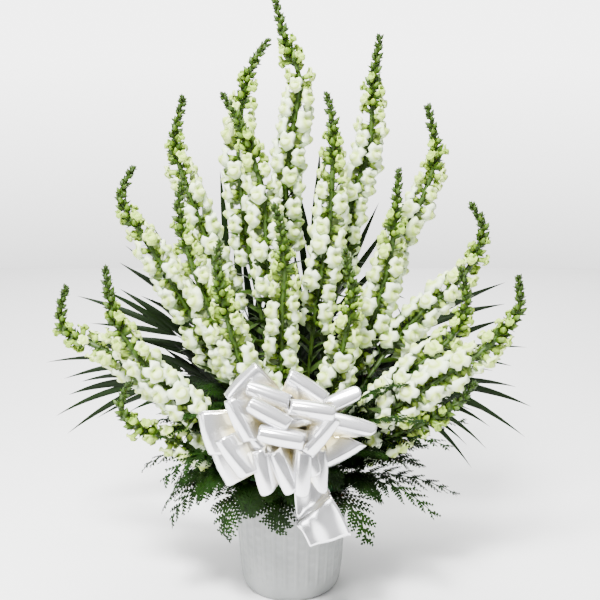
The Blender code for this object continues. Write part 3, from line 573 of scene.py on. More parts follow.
def open_florets(dice, number, line, open_length):
    """A floret each pitch, a golden turn apart, most of them off the front; age runs 0 to 1 downwards."""
    count = int(open_length / FLORET_PITCH)
    index = np.arange(count)
    step = index + dice.uniform(-FLORET_STEP_SPREAD, FLORET_STEP_SPREAD, count)
    turn = index * GOLDEN_TURN + number * SPIKE_TURN + dice.normal(0, FLORET_TURN_SPREAD, count)
    in_front = dice.uniform(0, 1, count) < FRONT_FLORETS
    turn = np.where(in_front, turn, past_front(turn, np.radians(dice.uniform(*FRONT_GAP))))
    age = np.clip(index * FLORET_PITCH / OPENING_LENGTH, 0, 1)
    rise = np.radians(grown(*FLORET_RISE, age) + dice.normal(0, FLORET_RISE_SPREAD, count))
    place, toward = along_line(line, FLORET_START + step * FLORET_PITCH)
    frames = frames_round(toward, turn, rise)
    size = grown(*FLORET_SIZE, age) * dice.uniform(*FLORET_SIZE_RANGE, count)
    openness = np.clip(grown(*FLORET_OPENNESS, age), 0, 1) * dice.uniform(*FLORET_OPENNESS_RANGE, count)
    phase = dice.uniform(0, 2 * np.pi, count)
    ripe = np.clip(age * WHITENESS_LEAD + dice.normal(0, WHITENESS_SPREAD, count), 0, 1)
    white = grown(*FLORET_WHITENESS, ripe)[:, None]
    base = place + frames[:, 2] * FLORET_FROM_STEM
    face = stood(corolla_points(size, openness, phase), frames, base)
    tube = stood(corolla_tube_points(size), frames, base)
    calyx = stood(calyx_points(size * CALYX_SIZE), frames, place + frames[:, 2] * CALYX_FROM_STEM)
    # Painted shade: the low tones at the crease and at the tube's foot darken each floret there.
    face_tone = np.repeat(RING_TONE_AND_SHADE, LIP_TURNS) * white
    tube_tone = np.repeat(TUBE_SECTIONS[:, 4], TUBE_TURNS) * white
    petals = [
        grid_part(face, LIP_RINGS, LIP_TURNS, face_tone, wrap=True, flip=True),
        grid_part(tube, len(TUBE_SECTIONS), TUBE_TURNS, tube_tone, wrap=True),
    ]
    cups = grid_part(calyx, CALYX_RINGS, CALYX_TURNS, GREEN_TONES["calyx"], wrap=True)
    return petals, cups, (place, toward, turn)


BUDS = 25
BUD_SHARE = (np.arange(BUDS) + 0.5) / BUDS
BUD_TURNS = 8
BUD_RINGS = 7
BUD_ZONE = 0.092
FLORET_START = BUD_ZONE * 0.84
# Down the spire, as a start, a growth and a power, and its range: place, rise in degrees, length and width
# in mm, and tone.
BUD_PLACE = (-0.001, BUD_ZONE * 1.25, 1.25)
BUD_RISE = (50, -18, 1)
BUD_RISE_SPREAD = 8
BUD_LENGTH = (9.0, 10.5, 0.7)
BUD_LENGTH_RANGE = (0.85, 1.15)
BUD_WIDTH = (5.6, 6.6, 1.1)
BUD_WIDTH_RANGE = (0.85, 1.1)
BUD_TONE = (0.0, 0.34, 1.5)
BUD_TONE_RANGE = (0.75, 1.2)
BUD_DARKEST = 0.05
BUD_BASE_TONE = 0.45
BUD_TURN = 1.1
BUD_BEND = 9.0
BUD_FROM_STEM = 0.00048
BUD_CALYX_WIDTH = 7.0 * MM


def bud_points(length, width):
    """A closed bud: circles whose radius is sin of the way along, to powers that fill it towards its base.

    It is bent by the square of its height.
    """
    way = np.linspace(0.0, 1.0, BUD_RINGS)[:, None]
    girth = np.sin(np.pi * way ** 0.72) ** 0.80
    girth[[0, -1]] = 0
    length, width = length[:, None, None], width[:, None, None]
    shape = rings(girth * width / 2, way * length, full_turn(BUD_TURNS))
    shape[..., 1] += shape[..., 2] ** 2 * BUD_BEND
    return shape.reshape(len(length), -1, 3)


def bud_spire(dice, number, line):
    """Buds in their calyces, crowded at the tip, that grow, pale and lean out further down."""
    place, toward = along_line(line, grown(*BUD_PLACE, BUD_SHARE))
    turn = np.arange(BUDS) * GOLDEN_TURN + number * BUD_TURN
    rise = np.radians(grown(*BUD_RISE, BUD_SHARE) + dice.normal(0, BUD_RISE_SPREAD, BUDS))
    frames = frames_round(toward, turn, rise)
    length = grown(*BUD_LENGTH, BUD_SHARE) * MM * dice.uniform(*BUD_LENGTH_RANGE, BUDS)
    width = grown(*BUD_WIDTH, BUD_SHARE) * MM * dice.uniform(*BUD_WIDTH_RANGE, BUDS)
    along = BUD_BASE_TONE + (1 - BUD_BASE_TONE) * np.linspace(0, 1, BUD_RINGS)
    pale = grown(*BUD_TONE, BUD_SHARE)[:, None] * along * dice.uniform(*BUD_TONE_RANGE, (BUDS, 1))
    tone = np.repeat(BUD_DARKEST + pale, BUD_TURNS, axis=1)
    bud = stood(bud_points(length, width), frames, place + frames[:, 2] * BUD_FROM_STEM)
    calyx = stood(calyx_points(width / BUD_CALYX_WIDTH), frames, place)
    return (grid_part(bud, BUD_RINGS, BUD_TURNS, tone, wrap=True),
            grid_part(calyx, CALYX_RINGS, CALYX_TURNS, GREEN_TONES["bud_calyx"], wrap=True),
            (place, toward, turn))


LEAF_ROWS = 6
LEAF_COLUMNS = 3
LEAF_FOLD = 0.35
# Rises in degrees and lengths in mm: of a bract under a floret, of one under a bud (a start, a growth and a
# power down the spire) and of a scale between them.
BRACT_RISE = (15, 50)
BRACT_LENGTH = (9, 15)
BUD_BRACT_RISE = (58, -12, 1)
BUD_BRACT_LENGTH = (7.0, 6.0, 1)
SCALE_RISE = (32, 54)
SCALE_LENGTH = (12, 16)
SCALE_PITCH = 0.0040
SCALE_FIRST_TURN = 0.6
BRACT_WIDTH = 0.40
BRACT_ARCH = 0.25
BRACT_SINK = 0.002
STEM_LEAF_PITCH = 0.0075
STEM_LEAVES_FROM = 0.72
STEM_LEAVES_GAP = 0.075
STEM_LEAVES_LEAST = 0.02
LEAF_RISE = (20, 62)
LEAF_ROLL_SPREAD = 0.9
LEAF_LENGTH = (34, 62)
LEAF_WIDTH = (7.5, 12.0)
LEAF_ARCH = (0.1, 0.5)


def leaf_points(length, width, arch):
    """A narrow leaf: three points across, sin of the way wide, folded up along its midrib and arched back."""
    way = np.linspace(0, 1, LEAF_ROWS)[:, None]
    half = np.sin(np.pi * (0.08 + 0.92 * way) ** 0.8) * 0.5
    half[-1] = 0.01
    length, width, arch = (values[:, None, None] for values in (length, width, arch))
    across = half * width * np.array([-1, 0, 1])
    back = -arch * way ** 2 * length + np.abs(across) * LEAF_FOLD
    return np.stack(np.broadcast_arrays(across, back, way * length), -1).reshape(len(length), -1, 3)


def bracts(dice, line, open_length, florets_at, buds_at):
    """Small leaves that sheathe the stem: one under each floret and each bud, and a scale each pitch."""
    scales = int(open_length / SCALE_PITCH)
    florets = len(florets_at[0])
    scale_turn = np.arange(scales) * GOLDEN_TURN * 2 + SCALE_FIRST_TURN
    scales_at = (*along_line(line, BUD_ZONE + np.arange(scales) * SCALE_PITCH), scale_turn)
    place, toward, turn = (np.concatenate(values) for values in zip(florets_at, buds_at, scales_at))
    rise = np.concatenate([dice.uniform(*BRACT_RISE, florets), grown(*BUD_BRACT_RISE, BUD_SHARE),
                           dice.uniform(*SCALE_RISE, scales)])
    length = MM * np.concatenate([dice.uniform(*BRACT_LENGTH, florets), grown(*BUD_BRACT_LENGTH, BUD_SHARE),
                                  dice.uniform(*SCALE_LENGTH, scales)])
    shape = leaf_points(length, length * BRACT_WIDTH, np.full(len(length), BRACT_ARCH))
    points = stood(shape, frames_round(toward, turn, np.radians(rise)), place - toward * BRACT_SINK)
    return grid_part(points, LEAF_ROWS, LEAF_COLUMNS, GREEN_TONES["bract"], flip=True)


def stem_leaves(dice, number, line, open_length):
    """Narrow leaves, a golden turn apart, from among the lowest florets to just above the foam."""
    top = BUD_ZONE + open_length * STEM_LEAVES_FROM
    bare = max(lengths_along(line)[-1] - top - STEM_LEAVES_GAP, STEM_LEAVES_LEAST)
    count = int(bare / STEM_LEAF_PITCH)
    index = np.arange(count)
    place, toward = along_line(line, top + index * STEM_LEAF_PITCH)
    rise = np.radians(dice.uniform(*LEAF_RISE, count))
    roll = dice.normal(0, LEAF_ROLL_SPREAD, count)
    length = dice.uniform(*LEAF_LENGTH, count) * MM
    width = dice.uniform(*LEAF_WIDTH, count) * MM
    arch = dice.uniform(*LEAF_ARCH, count)
    frames = frames_round(toward, index * GOLDEN_TURN + number, rise, roll)
    points = stood(leaf_points(length, width, arch), frames, place)
    return grid_part(points, LEAF_ROWS, LEAF_COLUMNS, GREEN_TONES["leaf"], flip=True)


def spike_parts(number, row, open_length, route):
    """The white and the green parts of one spike; its dice serve florets, buds, bracts and leaves in turn."""
    dice = np.random.default_rng(SPIKE_SEED + number)
    line = stem_line(row, route)
    open_length = open_length * OPEN_SHARE * MM
    petals, calyces, florets_at = open_florets(dice, number, line, open_length)
    buds, bud_calyces, buds_at = bud_spire(dice, number, line)
    small_leaves = bracts(dice, line, open_length, florets_at, buds_at)
    leaves = stem_leaves(dice, number, line, open_length)
    girth = np.interp(np.linspace(0, 1, len(line)), *STEM_GIRTH) * STEM_CUT_RADIUS
    tube = tube_points(line, girth, STEM_SIDES, STEM_RIBS)
    stem = grid_part(tube, len(line), STEM_SIDES, GREEN_TONES["stem"], wrap=True)
    return merged(petals), merged([stem, buds, calyces, bud_calyces, small_leaves, leaves])


def snapdragon_petal():
    """Fresh petal: thin, velvety and slightly see-through; green in the throat, white at the lobes' rims.

    The noise of about 4 mm stands for the soft swelling between its veins. The darker green of the crease
    and of the tube's foot is partly painted shade.
    """
    material, tree, shader = new_finish(
        "fresh_snapdragon_petal", Roughness=0.58, Specular_IOR_Level=0.25, Subsurface_Weight=0.05,
        Subsurface_Scale=0.001, Subsurface_Radius=(1.0, 0.95, 0.75), Sheen_Weight=0.05)
    tone = add_node(tree, "Attribute", {"attribute_name": "tone"})
    steps = [(0.0, "#5F7F1E"), (0.28, "#93B23C"), (0.50, "#B4CC60"), (0.74, "#CDDD98"), (0.96, "#D8E7C4")]
    tint = add_node(tree, "ValToRGB", steps=steps, i0=(tone, "Fac"))
    place = add_node(tree, "TexCoord")
    vein = add_node(tree, "TexNoise", Vector=(place, "Object"), Scale=260.0, Detail=2.0)
    bump = add_node(tree, "Bump", Height=(vein, "Fac"), Strength=0.22, Distance=0.0006)
    wire(tree, shader, Base_Color=(tint, "Color"), Normal=(bump, "Normal"))
    return material


def snapdragon_green():
    """Fresh stem and bud: waxy and finely downy; leaf green, paling to lime and then cream as a bud fills.

    Its shade drifts over patches of about 14 mm.
    """
    material, tree, shader = new_finish(
        "fresh_snapdragon_green", Roughness=0.50, Specular_IOR_Level=0.4, Subsurface_Weight=0.08,
        Subsurface_Scale=0.002)
    tone = add_node(tree, "Attribute", {"attribute_name": "tone"})
    steps = [(0.0, "#152606"), (0.10, "#324C06"), (0.26, "#5A7A10"), (0.50, "#A2BC3E"), (0.80, "#E4ECB8")]
    tint = add_node(tree, "ValToRGB", steps=steps, i0=(tone, "Fac"))
    place = add_node(tree, "TexCoord")
    patch = add_node(tree, "TexNoise", Vector=(place, "Object"), Scale=70.0, Detail=2.0)
    shade = add_node(tree, "ValToRGB", steps=[(0.3, "#CFCFCF"), (0.7, "#FFFFFF")], i0=(patch, "Fac"))
    mixed = add_node(tree, "Mix", MULTIPLIED, i0=0.8, i6=(tint, "Color"), i7=(shade, "Color"))
    wire(tree, shader, Base_Color=(mixed, 2))
    return material


finishes = {"florets": snapdragon_petal(), "stem": snapdragon_green()}
for number, (name, (row, open_length, route)) in enumerate(SPIKES.items()):
    parts = spike_parts(number, row, open_length, route)
    for (label, finish), (points, faces, tone, uv) in zip(finishes.items(), parts):
        piece = put_mesh(f"{label}_{name}", points, faces, uv, {"tone": tone}, weld=True)
        piece.data.materials.append(finish)
        if label == "florets":
            skin = piece.modifiers.new("petal", "SOLIDIFY")
            skin.thickness = PETAL_THICKNESS
        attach(piece, "root")
        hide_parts("snapdragon_" + name)

# The palm: eleven fronds in two planes behind the flowers, each stalk pushed into the foam. The leaflets show
# dark between the spikes and beyond them. Each: where its stalk leaves the foam in mm across, its tip as
# (x, z) in mm, its bow in mm and its plane.
PALMS = {
    "palm_left_high": (-14, (-298, 569), 12, 0),
    "palm_left_wide": (-21, (-395, 469), 28, 1),
    "palm_left_level": (-28, (-453, 355), 40, 0),
    "palm_left_low": (-35, (-448, 235), 60, 1),
    "palm_top_left": (-7, (-173, 706), -8, 1),
    "palm_top": (0, (51, 738), -6, 0),
    "palm_top_right": (7, (160, 640), 8, 1),
    "palm_right_high": (14, (390, 501), 24, 0),
    "palm_right_wide": (21, (440, 375), 38, 1),
    "palm_right_level": (28, (449, 262), 52, 0),
    "palm_right_low": (35, (372, 172), 60, 1),
}
PALM_SEED = 70
PALM_ROOT_DEPTH = 0.060
PALM_PLANES = (0.176, 0.196)
PALM_PLANE_FROM = 0.17
PALM_UPRIGHT = 0.10
PALM_LEAN_START = 0.24
PALM_BACKWARD_BEND = 0.10
PALM_BOW_END = 1.05
STALK_SINK = 0.036
PALM_RIB_POINTS = 70
PALM_RIB_SIDES = 8
PALM_RIB_RADII = [0.0016, 0.0021, 0.0009]
PALM_RIB_TONE = 0.5
PALM_INNER = np.linspace(0.06, 0.50, 9)
PALM_OUTER = np.linspace(0.56, 1.0, 3)
PALM_STAGGER = 0.018
# Leaflets, the outer and then the inner: degrees from the rib, share of the reach, half width and tone.
PALM_ANGLES = (14, 42)
PALM_ANGLE_CLOSING = 30
PALM_ANGLE_SPREAD = 3.0
PALM_LEAFLET_LENGTH = 0.190
PALM_REACHES = (0.96, 0.62)
PALM_REACH_RANGE = (0.84, 1.06)
PALM_HALF_WIDTHS = (0.0068, 0.0082)
PALM_WIDTH_RANGE = (0.85, 1.1)
PALM_TONES = (0.4, 0.0)
PALM_TONE_RANGE = (0.0, 0.5)
PALM_BEND = (-0.02, 0.03)
PALM_TWIST = 0.35
PALM_SWING = (0.004, 0.008)
PALM_DROOP = (0.0, 0.25)
PALM_FOLD = 0.42
PALM_PLEAT = 0.0004
PALM_LEAFLET_ROWS = 11
PALM_LEAFLET_COLUMNS = 5


def palm_place(root_mm, tip_mm, bow_mm, plane, along, across, forward):
    """World points for distances on a frond: its rib leaves the foam upright and bows to the tip.

    The bow is a parabola, and the rib leans back from PALM_LEAN_START on with the square of the distance.
    """
    top = np.array([root_mm * MM, FOAM_TOP])
    upright = np.array([0.0, 1.0])
    run = np.array(tip_mm) * MM - top
    length = np.linalg.norm(run)
    ahead = run / length
    side = np.array([-ahead[1], ahead[0]])
    bow = 4 * bow_mm * MM * (-1 if ahead[0] < 0 else 1)
    arch = bow * np.clip(along / length, 0, PALM_BOW_END) * (1 - along / length)
    turn = eased(0, PALM_UPRIGHT, along)[..., None]
    direction = unit(upright * (1 - turn) + ahead * turn)
    outward = np.stack([-direction[..., 1], direction[..., 0]], -1)
    flat = top + ahead * np.maximum(along, 0)[..., None] + side * arch[..., None]
    flat = flat + outward * across[..., None] + upright * np.minimum(along, 0)[..., None]
    depth = PALM_ROOT_DEPTH + (PALM_PLANES[plane] - PALM_ROOT_DEPTH) * eased(0, PALM_PLANE_FROM, along)
    depth = depth + PALM_BACKWARD_BEND * np.maximum(along - PALM_LEAN_START, 0) ** 2 - forward
    return np.stack([flat[..., 0], depth, flat[..., 1]], -1)


def palm_frond(number, *frond):
    """The rib as a tube, and its leaflets as grids along midribs that are summed from their headings.

    A leaflet is sin of the way wide, folded down from its midrib with a fine cosine pleat, twisted, swung
    forward and drooped by the square of its reach.
    """
    dice = np.random.default_rng(PALM_SEED + number)
    root_mm, tip_mm = frond[:2]
    rib_end = np.linalg.norm(np.array(tip_mm) * MM - np.array([root_mm * MM, FOAM_TOP])) - PALM_LEAFLET_LENGTH
    along = np.linspace(-STALK_SINK, rib_end + 0.01, PALM_RIB_POINTS)
    rib = palm_place(*frond, along, np.zeros(PALM_RIB_POINTS), np.zeros(PALM_RIB_POINTS))
    girth = np.interp(along, [-STALK_SINK, 0, rib_end], PALM_RIB_RADII)
    share = np.append(np.repeat(np.concatenate([PALM_INNER, PALM_OUTER]), 2), 1.0)
    pairs, count = len(share) // 2, len(share)
    flank = np.append(np.tile([-1.0, 1.0], pairs), 0.0)
    base = rib_end * (share - np.append(np.tile([0.0, PALM_STAGGER], pairs), 0.0))
    outer = share >= PALM_OUTER[0]
    steep, wide = PALM_ANGLES
    angle = np.where(outer, steep, wide - PALM_ANGLE_CLOSING * share)
    angle = np.radians(angle + dice.normal(0, PALM_ANGLE_SPREAD, count)) * flank
    reach = PALM_LEAFLET_LENGTH * np.where(outer, *PALM_REACHES) * dice.uniform(*PALM_REACH_RANGE, count)
    reach[-1] = PALM_LEAFLET_LENGTH
    half_width = np.where(outer, *PALM_HALF_WIDTHS) * dice.uniform(*PALM_WIDTH_RANGE, count)
    way = np.linspace(0, 1, PALM_LEAFLET_ROWS)
    width = np.sin(np.pi * (0.06 + 0.94 * way) ** 0.75)
    width[-1] = 0.02
    width = width[:, None]
    span = np.linspace(-1, 1, PALM_LEAFLET_COLUMNS)
    bend = dice.normal(*PALM_BEND, count) * flank
    heading = angle[:, None] + bend[:, None] * way ** 1.5
    step = reach[:, None] / (PALM_LEAFLET_ROWS - 1)
    start = np.zeros((count, 1))
    mid_along = base[:, None] + np.hstack([start, np.cumsum(np.cos(heading[:, 1:]) * step, axis=1)])
    mid_across = np.hstack([start, np.cumsum(np.sin(heading[:, 1:]) * step, axis=1)])
    half = half_width[:, None, None] * width * span
    leaf_along = mid_along[..., None] - np.sin(heading)[..., None] * half
    leaf_across = mid_across[..., None] + np.cos(heading)[..., None] * half
    fold = -PALM_FOLD * np.abs(half) + PALM_PLEAT * np.cos(np.pi * 4 * span) * width
    twist = dice.normal(0, PALM_TWIST, count)[:, None, None] * half * way[:, None]
    swing = dice.normal(*PALM_SWING, count)[:, None, None] * way[:, None] ** 2
    points = palm_place(*frond, leaf_along, leaf_across, fold + twist + swing)
    points[..., 2] -= (dice.uniform(*PALM_DROOP, count)[:, None] * (reach[:, None] * way) ** 2)[..., None]
    tone = dice.uniform(*PALM_TONE_RANGE, count) + np.where(outer, *PALM_TONES)
    tube = tube_points(rib, girth, PALM_RIB_SIDES)
    return merged([
        grid_part(tube, PALM_RIB_POINTS, PALM_RIB_SIDES, PALM_RIB_TONE, wrap=True),
        grid_part(points, PALM_LEAFLET_ROWS, PALM_LEAFLET_COLUMNS, tone[:, None], flip=True),
    ])


def leaf_finish(name, dark, light, veins, roughness):
    """A living leaf: a waxy surface over chlorophyll, its shade by the leaflet's tone, with parallel veins.

    The veins are a sine across the leaf, that many to its width.
    """
    material, tree, shader = new_finish(
        name, Roughness=roughness, Specular_IOR_Level=0.10, Subsurface_Weight=0.04, Subsurface_Scale=0.002)
    tone = add_node(tree, "Attribute", {"attribute_name": "tone"})
    tint = add_node(tree, "ValToRGB", steps=[(0.0, dark), (1.0, light)], i0=(tone, "Fac"))
    surface = add_node(tree, "UVMap", {"uv_map": "surface"})
    apart = add_node(tree, "SeparateXYZ", Vector=(surface, "UV"))
    lines = add_node(tree, "Math", {"operation": "MULTIPLY"}, i0=(apart, "X"), i1=veins * 2 * np.pi)
    wave = add_node(tree, "Math", {"operation": "SINE"}, i0=(lines, "Value"))
    vein_tint = add_node(tree, "ValToRGB", steps=[(0.0, "#C4C4C4"), (0.5, "#FFFFFF")], i0=(wave, "Value"))
    mixed = add_node(tree, "Mix", MULTIPLIED, i0=0.7, i6=(tint, "Color"), i7=(vein_tint, "Color"))
    bump = add_node(tree, "Bump", Height=(wave, "Value"), Strength=0.25, Distance=0.0003)
    wire(tree, shader, Base_Color=(mixed, 2), Normal=(bump, "Normal"))
    return material


palm_finish = leaf_finish("palm_leaf", "#060E02", "#102304", 9, 0.50)
for number, (name, details) in enumerate(PALMS.items()):
    points, faces, tone, uv = palm_frond(number, *details)
    piece = put_mesh(name + "_leaves", points, faces, uv, {"tone": tone})
    piece.data.materials.append(palm_finish)
    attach(piece, "root")
    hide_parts(name)

# The ferns: leatherleaf fronds, twice pinnate, pushed into the foam round the pot's rim, where they arch out
# and down. Each: its heading from 0 at the front to 90 at the right, its rise and bend in degrees, and its
# length and half width in mm.
FERNS = {
    "fern_front": (-8, 16, 118, 112, 30),
    "fern_front_left": (-40, 12, 112, 135, 33),
    "fern_left_front": (-64, 20, 88, 175, 36),
    "fern_left": (-90, 8, 70, 175, 36),
    "fern_left_back": (-116, 20, 80, 170, 38),
    "fern_back_left": (-148, 13, 80, 165, 40),
    "fern_back": (180, 18, 85, 165, 40),
    "fern_back_right": (148, 13, 80, 165, 40),
    "fern_right_back": (116, 20, 72, 185, 38),
    "fern_right": (90, 8, 38, 225, 38),
    "fern_right_front": (64, 20, 62, 205, 36),
    "fern_front_right": (38, 12, 82, 155, 33),
}
FERN_SEED = 900
FERN_ROOT_RADIUS = 0.066
FERN_ROOT_HEIGHT = 0.1885
FERN_ROOT_INWARD = 0.3
FERN_STALK = 0.040
FERN_CUP = 1.4
# A cluster's layers: turn and rise past the frond's own in radians, share of its length, how much higher it
# roots in metres, and its cut. The open cut shows air between its pinnules, and the full one closes the gaps
# from behind.
FERN_LAYERS = [
    (0.0, 0.0, 1.0, 0.0, "open"),
    (0.24, 0.26, 0.84, 0.010, "full"),
    (-0.22, 0.50, 0.74, 0.020, "full"),
    (0.10, 0.95, 0.70, 0.004, "full"),
    (-0.14, 1.20, 0.62, 0.016, "full"),
]
FERN_FLANK_LAYERS = [
    (0.12, 0.42, 1.15, 0.020, "open"),
    (-0.16, 0.66, 1.15, 0.032, "full"),
    (0.02, 0.90, 1.10, 0.040, "full"),
]
FERN_FLANKS = (50, 130)
# A cut: pairs of pinnae, the pitch, length and half width of its pinnules, the half width of a pinna's rib.
FERN_CUTS = {
    "open": (8, 0.0064, 0.0130, 0.0029, 0.0022),
    "full": (9, 0.0060, 0.0180, 0.0028, 0.0032),
}
RACHIS_POINTS = 44
RACHIS_SIDES = 6
RACHIS_RADII = [0.0016, 0.0006]
RACHIS_TONE = 0.5
PINNA_REACH = 1.75
PINNA_REACH_RANGE = (0.88, 1.10)
PINNA_TAPER = (1.0, -0.74, 1.3)
PINNA_FIRST = 0.85
PINNA_LEAN = (62, -16, 1)
PINNA_LEAN_SPREAD = 4
PINNA_STAGGER = 0.006
PINNA_HOOK = 1.9
PINNA_TONE_RANGE = (0.1, 0.9)
PINNA_RIB_ROWS = 7
PINNA_RIB_TONE = 0.6
PINNA_RIB_LIFT = 0.0004
PINNULE_MOST = 13
PINNULE_FIRST = 0.15
PINNULE_LIMITS = (0.0050, 0.019)
PINNULE_RANGE = (0.9, 1.1)
PINNULE_TURN = np.radians(66)
PINNULE_FOLD = 0.4
PINNULE_DROOP = 9.0
PINNULE_LIFT_SPREAD = 0.0008
# A pinnule's three rows: the way along it, its width and how far it hooks forward.
PINNULE_WAY = np.array([0.0, 0.45, 1.0])
PINNULE_WIDTH = np.array([0.80, 1.0, 0.04])[:, None]
PINNULE_HOOK = np.array([0.0, 0.07, 0.28])
PINNULE_SPAN = np.array([-1.0, 0.0, 1.0])


def fern_place(heading, rise, droop, length, higher, along, across, lift):
    """World points for a frond's own distances: straight up the stalk, then bent on a circle, and cupped."""
    away = np.array([np.sin(heading), -np.cos(heading), 0.0])
    side = np.array([np.cos(heading), np.sin(heading), 0.0])
    up = np.array([0.0, 0.0, 1.0])
    root = away * (FERN_ROOT_RADIUS - higher * FERN_ROOT_INWARD) + up * (FERN_ROOT_HEIGHT + higher)
    curve = droop / (length - FERN_STALK)
    angle = rise - curve * np.maximum(along - FERN_STALK, 0)
    stalk = np.minimum(along, FERN_STALK)
    out = stalk * np.cos(rise) + (np.sin(rise) - np.sin(angle)) / curve
    climb = stalk * np.sin(rise) + (np.cos(angle) - np.cos(rise)) / curve
    normal = away * -np.sin(angle)[..., None] + up * np.cos(angle)[..., None]
    flat = root + away * out[..., None] + up * climb[..., None] + side * across[..., None]
    return flat + normal * (lift - FERN_CUP * across ** 2)[..., None]


def fern_frond(dice, heading, rise, droop, length, half_width, higher, cut):
    """The rachis, then pinnae in pairs, each a flat rib and a comb of pinnules that shorten towards its tip.

    A pinna bends forward with the square of the distance along it. A pinnule is a folded, drooping grid of
    three rows, set at PINNULE_TURN to the pinna, and only those that fit within the pinna's reach are kept.
    """
    frond = (heading, rise, droop, length, higher)
    pinna_pairs, pinnule_pitch, pinnule_length, pinnule_half, rib_half = FERN_CUTS[cut]
    along = np.linspace(0.0, length * 0.97, RACHIS_POINTS)
    rachis = fern_place(*frond, along, np.zeros(RACHIS_POINTS), np.zeros(RACHIS_POINTS))
    girth = np.interp(along, [0, length], RACHIS_RADII)
    share = np.repeat(np.linspace(0, 1, pinna_pairs), 2)
    count = len(share)
    flank = np.tile([-1.0, 1.0], pinna_pairs)
    base = FERN_STALK * 0.8 + (length - FERN_STALK) * (0.02 + 0.96 * share)
    base = (base + np.tile([0.0, PINNA_STAGGER], pinna_pairs))[:, None]
    reach = half_width * PINNA_REACH * grown(*PINNA_TAPER, share) * np.where(share == 0, PINNA_FIRST, 1.0)
    reach = (reach * dice.uniform(*PINNA_REACH_RANGE, count))[:, None]
    lean = np.radians(grown(*PINNA_LEAN, share) + dice.normal(0, PINNA_LEAN_SPREAD, count)) * flank
    lean = lean[:, None]
    side = np.tile([-1.0, 1.0], PINNULE_MOST)
    start = np.arange(PINNULE_MOST * 2) // 2 + PINNULE_FIRST + np.tile([0.0, 0.5], PINNULE_MOST)
    start = np.broadcast_to(start * pinnule_pitch, (count, PINNULE_MOST * 2))
    use = start < reach
    left = np.clip(1 - start / reach, 0, 1)
    size = np.clip(pinnule_length * (reach / 0.06) ** 0.3 * left ** 0.42, *PINNULE_LIMITS)
    size = size * dice.uniform(*PINNULE_RANGE, size.shape)
    from_along = base + np.cos(lean) * start + PINNA_HOOK * start ** 2
    from_across = np.sin(lean) * start
    part = size[..., None] * PINNULE_WAY
    hooked = (lean + PINNULE_TURN * side)[..., None] - side[:, None] * PINNULE_HOOK
    half = (pinnule_half * (size / 0.0125) ** 0.4)[..., None, None] * PINNULE_WIDTH * PINNULE_SPAN
    sine, cosine = np.sin(hooked), np.cos(hooked)
    leaf_along = (from_along[..., None] + cosine * part)[..., None] - sine[..., None] * half
    leaf_across = (from_across[..., None] + sine * part)[..., None] + cosine[..., None] * half
    raised = dice.normal(0, PINNULE_LIFT_SPREAD, size.shape)[..., None, None] * PINNULE_WAY[:, None]
    lift = np.abs(half) * PINNULE_FOLD - (part ** 2 * PINNULE_DROOP)[..., None] + raised
    picked = [values[use] for values in np.broadcast_arrays(leaf_along, leaf_across, lift)]
    points = fern_place(*frond, *picked)
    tone = np.broadcast_to(dice.uniform(*PINNA_TONE_RANGE, (count, 1)), use.shape)[use][:, None]
    rib_way = np.linspace(0, 1, PINNA_RIB_ROWS)
    rib_reach = reach * rib_way
    rib_span = (rib_half * (1.02 - rib_way) ** 0.7)[:, None] * np.array([-1, 1])
    rib_along = (base + np.cos(lean) * rib_reach + PINNA_HOOK * rib_reach ** 2)[..., None]
    rib_along = rib_along - np.sin(lean)[..., None] * rib_span
    rib_across = (np.sin(lean) * rib_reach)[..., None] + np.cos(lean)[..., None] * rib_span
    ribs = fern_place(*frond, rib_along, rib_across, np.full(rib_across.shape, PINNA_RIB_LIFT))
    tube = tube_points(rachis, girth, RACHIS_SIDES)
    return [
        grid_part(tube, RACHIS_POINTS, RACHIS_SIDES, RACHIS_TONE, wrap=True),
        grid_part(points, len(PINNULE_WAY), len(PINNULE_SPAN), tone, flip=True),
        grid_part(ribs, PINNA_RIB_ROWS, 2, PINNA_RIB_TONE, flip=True),
    ]


def fern_cluster(number, heading, rise, droop, length, half_width):
    """The frond itself and the shorter, steeper ones that stand behind it in the foam, one for each layer."""
    dice = np.random.default_rng(FERN_SEED + number)
    low, high = FERN_FLANKS
    layers = FERN_LAYERS + (FERN_FLANK_LAYERS if low < abs(heading) < high else [])
    heading, rise, droop = np.radians([heading, rise, droop])
    parts = []
    for turned, raised, shorter, higher, cut in layers:
        parts += fern_frond(dice, heading + turned, rise + raised, droop, length * MM * shorter,
                            half_width * MM * shorter ** 0.5, higher, cut)
    return merged(parts)


fern_finish = leaf_finish("leatherleaf_fern", "#081604", "#193406", 1, 0.50)
for number, (name, details) in enumerate(FERNS.items()):
    points, faces, tone, uv = fern_cluster(number, *details)
    piece = put_mesh(name + "_pinnae", points, faces, uv, {"tone": tone})
    piece.data.materials.append(fern_finish)
    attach(piece, "root")
    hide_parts(name)

# The bow: one white satin ribbon, gathered into loops at a wired knot on a birch pick, with one tail that
# falls over the rim. Each loop: the middle of its fold as (x, y, z) in mm, and the fold's slope in degrees.
RIBBON_WIDTH = 0.068
RIBBON_THICKNESS = 0.00035
RIBBON_COLUMNS = 17
KNOT = np.array([0.0, -0.114, 0.318])
KNOT_RADIUS = 0.013
LOOPS = [
    ((-79, -142, 411), 46),
    ((-33, -182, 402), -19),
    ((-31, -222, 380), -29),
    ((-81, -205, 363), -66),
    ((31, -160, 410), -33),
    ((36, -202, 383), -9),
    ((-13, -234, 346), -11),
    ((-91, -215, 305), -56),
    ((-46, -215, 282), -78),
    ((-13, -215, 282), -68),
    ((22, -215, 280), -93),
    ((55, -168, 266), -88),
    ((52, -206, 338), -128),
    ((102, -165, 346), -14),
    ((80, -140, 377), 24),
    ((92, -145, 282), 30),
    ((-138, -134, 318), -76),
    ((-116, -124, 257), -66),
    ((10, -192, 364), 14),
    ((-54, -198, 322), -50),
    ((30, -200, 306), -70),
]
LOOP_SIDE_ROWS = 18
LOOP_FOLD_ROWS = 9
LOOP_BEND_RADIUS = 0.0118
